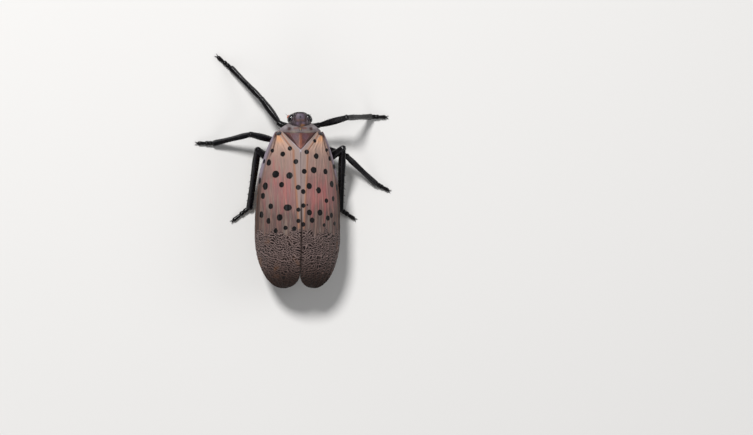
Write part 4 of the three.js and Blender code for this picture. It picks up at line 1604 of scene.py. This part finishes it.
@dataclass(frozen=True)
class Feeler:
    """One feeler: a short root, a swollen orange joint studded with pale organs, and a bristle."""

    side: Side
    root: Point = (1.1, -7.4, 7.15)
    bulb: Point = (1.35, -7.42, 6.92)
    radius: float = 0.37
    knob_radius: float = 0.14
    bristle: float = 1.4
    bristle_middle: float = 0.9
    way: Point = (0.38, -0.42, -0.82)
    studs: int = 90
    stud_length: float = 0.05
    stud_radius: float = 0.022

    @property
    def radii(self) -> Point:
        """Half the swollen joint's size along x, y and z."""
        return self.radius, self.radius * 0.94, self.radius * 1.06

    def organs(self, centre: np.ndarray) -> tuple[Shape, np.ndarray]:
        """Where the pale organs stand, spread evenly over the swollen joint.

        Args:
            centre: The joint's middle.

        Returns:
            Their roots with their lengths, and the way each of them points.
        """
        golden = math.pi * (3 - math.sqrt(5))
        i = np.arange(self.studs)
        lift = 1 - 2 * (i + 0.5) / self.studs
        flat = np.sqrt(1 - lift**2)
        way = np.stack([flat * np.cos(golden * i), flat * np.sin(golden * i), lift], -1)
        lengths = np.full(self.studs, self.stud_length * MILLIMETRE)
        return Shape(centre + way * np.array(self.radii), [], {"length": lengths}), way

    def build(self, orange: bpy.types.Material, dark: bpy.types.Material, studs: GeometryTree) -> None:
        """Builds the feeler.

        Args:
            orange: Finish of the swollen joint.
            dark: Finish of the bristle.
            studs: The tree that sets the pale organs.
        """
        name = f"antenna_{self.side.word}"
        root, centre, out = (on_side(p, self.side.value) for p in (self.root, self.bulb, self.way))
        bristle_root = centre + out * self.radius
        knob = ellipsoid(bristle_root, (self.knob_radius,) * 3, rows=14)
        bulb = merged([ellipsoid(centre, self.radii, rows=28), tube([root, centre], [0.2, 0.24], 20, 8), knob])
        settle(place_object(name + "_bulb", bulb, orange), [name])
        hair = tube([bristle_root, centre + out * self.bristle_middle, centre + out * self.bristle],
                    [0.05, 0.03, 0.012], 8, 24)
        settle(place_object(name + "_bristle", hair, dark))
        piece = guide_object(name + "_organs", *self.organs(centre))
        settle(studs.run(piece, Radius=self.stud_radius * MILLIMETRE))


@dataclass(frozen=True)
class Beak:
    """The long jointed beak that lies along the underside."""

    route: tuple[Point, ...] = (
        (0, -7.2, 5.2), (0, -6.6, 4.2), (0, -5.4, 3.3), (0, -3.6, 2.75), (0, -1.6, 2.5))
    radius: float = 0.24
    swellings: tuple[float, ...] = (1, 1.05, 0.82, 0.98, 0.8, 0.95, 0.7, 0.45)

    def build(self, material: bpy.types.Material) -> None:
        """Builds the beak."""
        sheath = tube(self.route, [self.radius * share for share in self.swellings], 16, 60)
        settle(place_object("rostrum_sheath", sheath, material), ["rostrum"])


@dataclass(frozen=True)
class Collar:
    """The saddle-shaped collar between head and wings."""

    half_width: float = 3.05
    top: float = 9.1
    droop: float = 0.2
    thickness: float = 0.5
    rear: float = -5.0
    flank_rear: float = -5.25
    front: float = -6.05
    stations: int = 120
    sides: int = 44

    def section(self, share: float) -> np.ndarray:
        """One section across the collar, with its part of the fine keels.

        Args:
            share: Its place from the right end, -1, to the left end, 1.

        Returns:
            Its points.
        """
        x = share * self.half_width
        taper = math.sqrt(1 - (abs(share) * 0.985) ** 8)
        slope = -2 * self.droop * x
        normal = np.array((-slope, 0, 1)) / math.hypot(slope, 1)
        front = self.front - 0.45 * min(abs(x) / 1.6, 1) ** 2 + 0.55 * max(abs(x) - 1.6, 0) ** 1.3
        rear = self.rear + (self.flank_rear - self.rear) * share**2 - 0.1 * bell(x, 0.5)
        centre = np.array((x, (front + rear) / 2, self.top - self.droop * x * x))
        keel = 0.05 * bell(x, 0.07) + 0.03 * bell(abs(x) - 1.3, 0.25)
        angles = around(self.sides) + math.pi / self.sides
        long = (rear - front) / 2 * taper * np.sign(np.cos(angles)) * np.abs(np.cos(angles)) ** 0.6
        lift = (self.thickness / 2 * taper + keel) * np.sin(angles)
        return centre + np.outer(lift, normal) + np.outer(long, (0, 1, 0))

    def painted(self) -> Shape:
        """The collar's surface with its marks."""
        shape = lofted(np.array([self.section(share) for share in np.linspace(-1, 1, self.stations)]))
        p = shape.points
        canvas = Canvas(shape, rgb(110, 100, 101))
        canvas.layer(smooth(1.6, 3.0, np.abs(p[:, 0])) * 0.6, rgb(138, 128, 134))
        canvas.layer(smooth(-5.3, -5.05, p[:, 1]) * 0.75, rgb(78, 68, 71))
        canvas.blot((1.0, -5.25, 9.0), (0.6, 0.2, 0.5), rgb(140, 124, 110), 0.6, 0.6)
        canvas.blot((2.0, -5.95, 8.4), (0.5, 0.2, 0.6), rgb(156, 148, 152), 0.5, 0.6)
        canvas.blot((1.56, -5.74, 8.8), (0.29, 0.23, 0.7), rgb(58, 26, 23), 0.45)
        canvas.blot((0.55, -5.82, 9.2), (0.45, 0.13, 0.5), rgb(104, 56, 42), 0.5, 0.85)
        canvas.blot((0.14, -5.55, 9.3), (0.07, 0.14, 0.4), rgb(44, 30, 28), 0.4, 0.9)
        canvas.blot((0, -5.9, 9.3), (0.42, 0.16, 0.4), rgb(78, 50, 34), 0.5, 0.8)
        canvas.blot((0, -5.72, 9.3), (0.1, 0.1, 0.4), rgb(150, 116, 62), 0.5, 0.8)
        return canvas.painted()

    def build(self, material: bpy.types.Material) -> None:
        """Builds the collar."""
        settle(place_object("pronotum_collar", self.painted(), material), ["pronotum"])


@dataclass(frozen=True)
class Thorax:
    """The middle body: the shield between the wings, the wing roots and the sides that carry the legs."""

    stations: tuple[tuple[float, ...], ...] = (
        (-6.1, 1.3, 8.4, 4.9), (-5.7, 2.2, 8.8, 4.3), (-5.1, 2.7, 9.2, 3.9), (-4.2, 3.1, 9.3, 3.55),
        (-3.2, 3.3, 9.3, 3.4), (-2.2, 3.2, 9.0, 3.35), (-1.4, 2.9, 8.7, 3.35), (-0.5, 2.6, 8.5, 3.4))
    plates: tuple[Point, ...] = ((-5.3, 5.4, 0.75), (-3.8, 5.0, 0.85), (-2.0, 5.0, 0.8))
    sockets: tuple[tuple[float, float], ...] = ((-5.9, 4.75), (-3.7, 4.1), (-1.8, 3.9))
    seams: tuple[float, ...] = (-4.75, -2.85)
    shield_front: float = -5.3
    shield_rear: float = -2.4
    shield_thickness: float = 0.5
    grid: int = 90
    clearance: float = 0.45
    voxel: float = 0.07

    def sides(self) -> Shape:
        """The body below the wings, with the plates above each leg, painted."""
        parts = [lofted(body_rings(self.stations, 60, 72, 0.55))]
        for side in BOTH_SIDES:
            parts += [ellipsoid((side * 2.05, y, z), (0.8, size, 1.15), rows=16) for y, z, size in self.plates]
            parts += [ellipsoid((side * 1.25, y, z), (0.75, 0.7, 0.6), rows=16) for y, z in self.sockets]
        shape = fused(parts, self.voxel, 3)
        p = shape.points
        p[:, 2] -= np.maximum(p[:, 2] - ROOF.level(p[:, 0], p[:, 1]) + self.clearance, 0)
        canvas = Canvas(shape, rgb(52, 44, 46))
        canvas.layer(smooth(5.2, 7.2, p[:, 2]) * 0.7, rgb(110, 96, 98))
        canvas.blot((2.5, -4.6, 6.6), (0.8, 0.35, 0.5), rgb(206, 160, 110), 0.6, 0.7)
        canvas.blot((2.6, -3.0, 6.3), (0.8, 0.3, 0.5), rgb(190, 146, 100), 0.6, 0.6)
        for seam in self.seams:
            canvas.layer(bell(p[:, 1] - seam, 0.07) * 0.8, rgb(18, 15, 16))
            canvas.layer(bell(p[:, 1] - seam - 0.18, 0.08) * 0.4, rgb(128, 112, 104))
        return canvas.painted()

    def shield(self) -> Shape:
        """The triangular shield, domed, keeled and painted, that shows between the wings."""
        y, share = np.meshgrid(np.linspace(self.shield_front, self.shield_rear, self.grid),
                               np.linspace(-1, 1, self.grid), indexing="ij")
        half = ROOF.shield_half_width(y)
        x = share * half
        dome = 0.02 - 0.22 * np.abs(share) ** 3
        keels = 0.05 * bell(x, 0.06) + 0.05 * bell(np.abs(x) - 0.62 * half, 0.07)
        z = ROOF.level(x, y) + dome + keels * smooth(-2.6, -3.1, y) - 0.12 * smooth(-5.0, -5.3, y)
        outer = np.stack([x, y, z], -1)
        shape = sheet(outer, outer - np.array((0, 0, self.shield_thickness)))
        p = shape.points
        half = ROOF.shield_half_width(p[:, 1])
        beside = np.abs(p[:, 0])
        gap = half - beside - 0.12
        canvas = Canvas(shape, rgb(86, 46, 42))
        canvas.blot((0.75, -4.6, 9.4), (0.45, 0.5, 0.6), rgb(86, 56, 68), 0.7, 0.8)
        canvas.layer(smooth(0.6, 0.25, gap) * smooth(-3.4, -4.1, p[:, 1]) * 0.9, rgb(48, 20, 20))
        canvas.layer(smooth(0.26, 0.12, beside) * smooth(-5.3, -4.6, p[:, 1]) * 0.8, rgb(134, 76, 50))
        canvas.layer(smooth(-3.8, -3.0, p[:, 1]) * 0.75, rgb(144, 88, 76))
        canvas.layer(smooth(0.3, 0.16, gap) * smooth(-4.3, -3.7, p[:, 1]) * 0.8, rgb(52, 26, 26))
        canvas.layer(smooth(0.1, 0.02, gap) * smooth(-4.3, -3.5, p[:, 1]) * 0.9, rgb(196, 184, 184))
        canvas.layer(smooth(-2.78, -2.6, p[:, 1]), rgb(206, 200, 204))
        return canvas.painted()

    def scales(self) -> Shape:
        """The scales over the wing roots, painted."""
        parts = []
        for side in BOTH_SIDES:
            parts.append(ellipsoid((side * 2.92, -5.1, 8.2), (0.34, 0.22, 0.36), 0.25 * side, 18))
            parts.append(ellipsoid((side * 3.16, -5.02, 7.7), (0.2, 0.28, 0.5), 0.2 * side, 18))
        canvas = Canvas(merged(parts), rgb(46, 44, 50))
        canvas.layer(smooth(8.6, 7.6, canvas.shape.points[:, 2]) * 0.6, rgb(66, 58, 64))
        return canvas.painted()

    def build(self, shell: bpy.types.Material) -> None:
        """Builds the sides, the shield and the scales over the wing roots.

        Args:
            shell: Their finish.
        """
        settle(place_object("thorax_sides", self.sides(), shell), ["thorax"])
        settle(place_object("thorax_shield", self.shield(), shell))
        settle(place_object("thorax_wing_scales", self.scales(), shell))


@dataclass(frozen=True)
class Abdomen:
    """The swollen yellow abdomen with its black plates, and the red and waxy tip."""

    segments: int = 8
    lip: float = 0.12
    fold: float = 0.1
    stations: tuple[tuple[float, ...], ...] = (
        (-0.67, 2.5, 8.3, 3.4), (0.4, 3.0, 8.75, 2.8), (2.2, 3.35, 8.9, 2.3), (4.0, 3.2, 8.5, 2.1),
        (5.6, 2.6, 7.6, 2.0), (6.8, 1.75, 6.2, 2.0), (7.7, 1.0, 4.9, 2.2), (8.3, 0.45, 3.9, 2.6))

    def within(self, y: np.ndarray) -> np.ndarray:
        """How far along its segment each place lies.

        Args:
            y: Places along the body.

        Returns:
            The share of the segment before each of them, 0 to 1.
        """
        start, end = self.stations[0][0], self.stations[-1][0]
        phase = (y - start) / (end - start) * self.segments
        return phase - np.floor(phase)

    def shape(self) -> Shape:
        """The abdomen's surface, with a lip at each segment and a fold along each side."""
        rings = body_rings(self.stations, 240, 96, 0.5)
        within = self.within(rings[:, :, 1])
        swell = self.lip * (smooth(0.02, 0.75, within) - 1.3 * smooth(0.9, 1.0, within))
        out = rings - rings.mean(1, keepdims=True)
        side_fold = self.fold * bell(out[:, :, 2], 0.18)
        out = out / np.linalg.norm(out, axis=2, keepdims=True)
        return lofted(rings + out * (swell - side_fold)[..., None])

    def painted(self) -> Shape:
        """The surface with its plates."""
        shape = self.shape()
        p = shape.points
        places, middles = zip(*((row[0], (row[2] + row[3]) / 2) for row in self.stations))
        height = p[:, 2] - np.interp(p[:, 1], places, middles)
        within = self.within(p[:, 1])
        plate = smooth(0.2, 0.3, within) * smooth(0.86, 0.76, within)
        below = smooth(-0.9, -1.3, height) * smooth(2.6, 2.2, np.abs(p[:, 0]))
        canvas = Canvas(shape, rgb(208, 164, 46))
        canvas.layer(smooth(0.9, 1.4, height) * plate, rgb(30, 26, 26))
        canvas.layer(below * plate, rgb(40, 36, 38))
        canvas.layer(smooth(0.35, 0.7, bell(height + 0.45, 0.42) * plate), rgb(46, 44, 50))
        canvas.layer(smooth(5.9, 6.5, p[:, 1]) * 0.9, rgb(52, 46, 48))
        canvas.layer(smooth(6.6, 7.2, p[:, 1]) * 0.6, rgb(168, 160, 158))
        canvas.layer(smooth(7.75, 8.0, p[:, 1]), rgb(186, 48, 38))
        return canvas.painted()

    def build(self, material: bpy.types.Material) -> None:
        """Builds the abdomen."""
        settle(place_object("abdomen_skin", self.painted(), material), ["abdomen"])


@dataclass(frozen=True)
class LegSizes:
    """Sizes of a leg in millimetres, with radii along each length, and its hairs to a square metre."""

    coxa: tuple[float, ...] = (0.6, 0.62, 0.5, 0.42)
    femur: tuple[float, ...] = (0.3, 0.4, 0.48, 0.5, 0.45, 0.4)
    tibia: tuple[float, ...] = (0.36, 0.42, 0.38, 0.36, 0.39, 0.43)
    joint: float = 0.42
    ribs: int = 5
    foot: tuple[tuple[float, float, float], ...] = ((0.0, 0.3, 0.3), (0.3, 0.52, 0.3), (0.52, 0.98, 0.26))
    foot_heights: tuple[float, float] = (0.5, 0.24)
    pad: Point = (0.17, 0.17, 0.13)
    spines: int = 5
    spine_length: float = 0.68
    spine_radius: float = 0.11
    crown: int = 7
    crown_length: float = 0.34
    claw_length: float = 0.62
    claw_radius: float = 0.085
    claw_turn: float = 0.42
    claw_curl: float = 0.28
    hair_density: float = 9e6
    hair_length: float = 0.2
    hair_radius: float = 0.008


@dataclass(frozen=True)
class Leg:
    """One leg, as the points where its lengths meet."""

    name: str
    root: Point
    hip: Point
    knee: Point
    ankle: Point
    toe: Point
    sizes: LegSizes = LegSizes()

    @property
    def hind(self) -> bool:
        """Whether this is a hind leg, which has spines along its shin."""
        return self.name.startswith("hind")

    def length_of(self, start: Point, end: Point, radii: Sequence[float], rib: float) -> Shape:
        """One ribbed length of the leg, painted with how close each point is to a rib.

        Args:
            start: Where it starts.
            end: Where it ends.
            radii: Its radius, spread evenly along it.
            rib: Height of a rib, as a share of the radius.

        Returns:
            The length.
        """
        sides, ribs = 30, self.sizes.ribs
        shape = tube([start, end], radii, sides, 34, 1.08, ribs, rib)
        angle = (np.arange(len(shape.points) - 2) % sides + 0.5) / sides * FULL_TURN
        # the ridge value places the painted highlight that the leg finish lays along the ribs
        shape.paint = {"ridge": np.concatenate([np.clip(np.cos(ribs * angle), 0, 1) ** 3, [0, 0]])}
        return shape

    def plain(self, shape: Shape) -> Shape:
        """A smooth bit of leg, without ridges."""
        shape.paint = {"ridge": np.zeros(len(shape.points))}
        return shape

    def foot_parts(self) -> list[Shape]:
        """The three joints of the foot, its pad and its two claws."""
        sizes = self.sizes
        start, end = np.array(self.ankle, float), np.array(self.toe, float)
        start[2], end[2] = sizes.foot_heights
        found = []
        for begins, ends, radius in sizes.foot:
            joint = [start + (end - start) * begins, start + (end - start) * ends]
            found.append(tube(joint, [radius * 0.7, radius, radius * 1.15], 16, 12))
        axis = unit((end - start) * np.array((1, 1, 0)))
        found.append(ellipsoid(end + axis * 0.12 - np.array((0, 0, 0.08)), sizes.pad, rows=12))
        for side in (-1, 1):
            cosine, sine = math.cos(sizes.claw_turn * side), math.sin(sizes.claw_turn * side)
            way = np.array((axis[0] * cosine - axis[1] * sine, axis[0] * sine + axis[1] * cosine, 0.1))
            found.append(cone(end + axis * 0.08, way, sizes.claw_length, sizes.claw_radius, sizes.claw_curl))
        for part in found:
            part.points[:, 2] = np.maximum(part.points[:, 2], 0.0)
        return [self.plain(part) for part in found]

    def parts(self) -> list[Shape]:
        """Every solid bit of the leg."""
        sizes = self.sizes
        hip, root = np.array(self.hip), np.array(self.root)
        joint = (sizes.joint,) * 3
        return [
            self.plain(tube([self.root, self.hip], sizes.coxa, 24, 18)),
            self.plain(ellipsoid(hip + (hip - root) * 0.06, joint, rows=14)),
            self.plain(ellipsoid(self.knee, joint, rows=14)),
            self.length_of(self.hip, self.knee, sizes.femur, 0.07),
            self.length_of(self.knee, self.ankle, sizes.tibia, 0.09),
            *self.foot_parts(),
        ]

    def guides(self) -> tuple[Shape, np.ndarray]:
        """Roots, lengths and directions of the spines on the shin."""
        knee, ankle = np.array(self.knee), np.array(self.ankle)
        axis = unit(ankle - knee)
        side, up = axes_along(axis)
        outward = np.array((math.copysign(1.0, self.knee[0]), 0, 0.15))
        outward = unit(outward - axis * (outward @ axis))
        roots, ways, lengths = [], [], []
        for i in range(self.sizes.spines if self.hind else 0):
            share = 0.42 + 0.44 * i / (self.sizes.spines - 1)
            roots.append(knee + (ankle - knee) * share + outward * 0.24)
            ways.append(outward + axis * 0.75)
            lengths.append(self.sizes.spine_length * (0.85 + 0.15 * math.sin(3.1 * i)))
        for i in range(self.sizes.crown):
            angle = i / self.sizes.crown * FULL_TURN
            spoke = side * math.cos(angle) + up * math.sin(angle)
            if spoke[2] > 0.55:
                continue
            roots.append(ankle - axis * 0.02 + spoke * 0.26)
            ways.append(spoke * 0.55 + axis)
            lengths.append(self.sizes.crown_length * (1.2 if self.hind else 0.7))
        return Shape(np.array(roots), [], {"length": np.array(lengths) * MILLIMETRE}), np.array(ways)

    def build(self, shell: bpy.types.Material, spikes: GeometryTree, fur: GeometryTree, seed: int) -> None:
        """Builds the leg, its spines and its hairs.

        Args:
            shell: The leg's finish.
            spikes: The tree that sets spines.
            fur: The tree that scatters hairs.
            seed: Where the hairs' draw starts.
        """
        sizes = self.sizes
        nodes = [f"{self.name}_{part}" for part in ("coxa", "femur", "tibia", "tarsus")]
        shape = merged(self.parts())
        settle(place_object(f"{self.name}_shell", shape, shell), nodes)
        spines = spikes.run(guide_object(f"{self.name}_spines", *self.guides()),
                            Radius=sizes.spine_radius * MILLIMETRE)
        lift_off_floor(spines)
        settle(spines)
        hairs = fur.run(place_object(f"{self.name}_hairs", shape, shell), Density=sizes.hair_density,
                        Length=sizes.hair_length * MILLIMETRE, Radius=sizes.hair_radius * MILLIMETRE,
                        Seed=float(seed))
        lift_off_floor(hairs)
        settle(hairs)


def lift_off_floor(piece: bpy.types.Object) -> None:
    """Keeps a piece from reaching under the floor.

    Args:
        piece: The piece.
    """
    points = np.zeros(len(piece.data.vertices) * 3, np.float32)
    piece.data.vertices.foreach_get("co", points)
    points[2::3] = np.maximum(points[2::3], 0)
    piece.data.vertices.foreach_set("co", points)
    piece.data.update()


HIND_SIZES = LegSizes(femur=(0.34, 0.46, 0.54, 0.57, 0.53, 0.47), tibia=(0.42, 0.52, 0.48, 0.45, 0.46, 0.48))

LEGS = (
    Leg("foreleg_left", (1.15, -5.8, 4.9), (2.6, -6.6, 4.5), (5.15, -10.2, 3.0), (9.35, -14.7, 0.62),
        (11.2, -16.3, 0.3)),
    Leg("foreleg_right", (-1.15, -5.8, 4.9), (-3.0, -6.35, 4.1), (-7.0, -7.45, 6.0), (-10.95, -7.75, 0.62),
        (-13.15, -7.7, 0.3)),
    Leg("midleg_left", (1.35, -3.7, 4.2), (2.85, -4.05, 3.6), (6.8, -5.0, 4.2), (11.75, -3.8, 0.62),
        (14.05, -3.8, 0.3)),
    Leg("midleg_right", (-1.35, -3.7, 4.2), (-2.9, -3.5, 3.3), (-7.3, -1.9, 3.2), (-11.75, 2.0, 0.62),
        (-13.55, 2.95, 0.3)),
    Leg("hindleg_left", (1.05, -1.7, 4.0), (2.5, -0.1, 3.1), (5.75, -2.75, 4.0), (6.65, 5.5, 0.62),
        (8.95, 7.35, 0.3), HIND_SIZES),
    Leg("hindleg_right", (-1.05, -1.7, 4.0), (-2.5, -0.1, 3.1), (-6.5, -3.0, 5.3), (-6.6, 5.8, 0.62),
        (-8.55, 7.1, 0.3), HIND_SIZES),
)


@dataclass(frozen=True)
class Camera:
    """The photograph's view: from high above, a little to the insect's left, head up in the picture."""

    picture_width: int = 753
    eye: Point = (42.0, 7.01, 500.0)
    target: Point = (-11.99, 7.01, 0.0)
    focal_pixels: float = 3431.3
    sensor: float = 36.0
    nearest: float = 0.01
    farthest: float = 20.0

    def build(self) -> None:
        """Makes the scene's camera."""
        eye = np.array(self.eye)
        back = unit(eye - np.array(self.target))
        right = unit(np.cross((0.0, -1.0, 0.0), back))
        up = np.cross(back, right)
        data = bpy.data.cameras.new("camera")
        data.sensor_width = self.sensor
        data.lens = self.sensor * self.focal_pixels / self.picture_width
        data.clip_start, data.clip_end = self.nearest, self.farthest
        camera = linked("camera", data)
        columns = np.column_stack([right, up, back, PLACE.metres(eye)])
        camera.matrix_world = Matrix([*columns.tolist(), (0, 0, 0, 1)])
        bpy.context.scene.camera = camera
        log.info("camera: lens %.1f mm", data.lens)


@dataclass(frozen=True)
class Studio:
    """A plain pale floor and soft light from above and the picture's upper left."""

    floor_size: float = 3.0
    floor_tone: float = 0.74
    lights: tuple[tuple[Point, float, float], ...] = (
        ((0.16, -0.26, 0.42), 0.12, 2.7), ((-0.4, -0.1, 0.3), 0.3, 0.45), ((0.05, 0.5, 0.3), 0.3, 0.4))
    sky: float = 0.22
    sky_colour: tuple[float, ...] = (0.95, 0.97, 1.0, 1.0)

    def floor(self) -> None:
        """Makes the floor."""
        half, tone = self.floor_size / 2, self.floor_tone
        mesh = bpy.data.meshes.new("floor")
        mesh.from_pydata([(-half, -half, 0), (half, -half, 0), (half, half, 0), (-half, half, 0)], [],
                         [(0, 1, 2, 3)])
        shader = Shader("floor_paint", roughness=0.85)
        cloud = shader.noise(shader.place(), 0.01, 2.0)
        shader.dress(shader.mix(cloud, (tone, tone * 0.985, tone * 0.96), (tone * 1.02, tone, tone * 0.98)))
        mesh.materials.append(shader.material)
        linked("floor", mesh)

    def build(self) -> None:
        """Makes the floor, the lights and the sky."""
        self.floor()
        for number, (place, size, power) in enumerate(self.lights):
            data = bpy.data.lights.new(f"softbox_{number}", "AREA")
            data.shape = "DISK"
            data.size = size
            data.energy = power
            lamp = linked(data.name, data)
            lamp.location = place
            lamp.rotation_euler = (-Vector(place)).to_track_quat("-Z", "Y").to_euler()
        world = bpy.data.worlds.new("sky")
        world.use_nodes = True
        background = world.node_tree.nodes["Background"]
        background.inputs[0].default_value = self.sky_colour
        background.inputs[1].default_value = self.sky
        bpy.context.scene.world = world
        bpy.context.scene.view_settings.view_transform = "Standard"


def main() -> None:
    """Builds the whole scene, piece by piece."""
    logging.basicConfig(level=logging.INFO, format="%(name)s: %(message)s")
    Camera().build()
    Studio().build()
    net = NetPattern()
    membrane = WingFinish(net).material()
    relief = net.relief_tree()
    for side in Side:
        Forewing(side).build(membrane, relief)
    pleated = HindwingFinish().material()
    for side in Side:
        Hindwing(side).build(pleated)
    Head().build(ShellFinish("head_shell", 0.48, 10.0, 0.25, 0.02).material(), EyeFinish().material())
    orange = PlainFinish("feeler_orange", rgb(190, 80, 36), rgb(138, 42, 22), 0.45, 6.0).material()
    dark = PlainFinish("bristle_dark", rgb(60, 44, 38), rgb(30, 24, 22), 0.45).material()
    pale = PlainFinish("feeler_organs", rgb(244, 176, 130), rgb(226, 130, 84), 0.5).material()
    studs = spike_tree(pale)
    for side in Side:
        Feeler(side).build(orange, dark, studs)
    Beak().build(PlainFinish("beak_shell", rgb(64, 50, 44), rgb(30, 24, 24), 0.42, 3.0).material())
    Collar().build(ShellFinish("collar_shell", 0.55, 8.0, 0.22, 0.015).material())
    Thorax().build(ShellFinish("thorax_shell", 0.5, 8.0, 0.25, 0.015).material())
    Abdomen().build(ShellFinish("abdomen_skin", 0.46, 6.0, 0.2, 0.02).material())
    leg_shell = LegFinish().material()
    hair = PlainFinish("leg_hair", rgb(70, 66, 66), rgb(34, 32, 34), 0.5).material()
    spikes, fur = spike_tree(leg_shell), fur_tree(hair)
    for seed, leg in enumerate(LEGS, 1):
        leg.build(leg_shell, spikes, fur, seed)


if __name__ == "__main__":
    main()
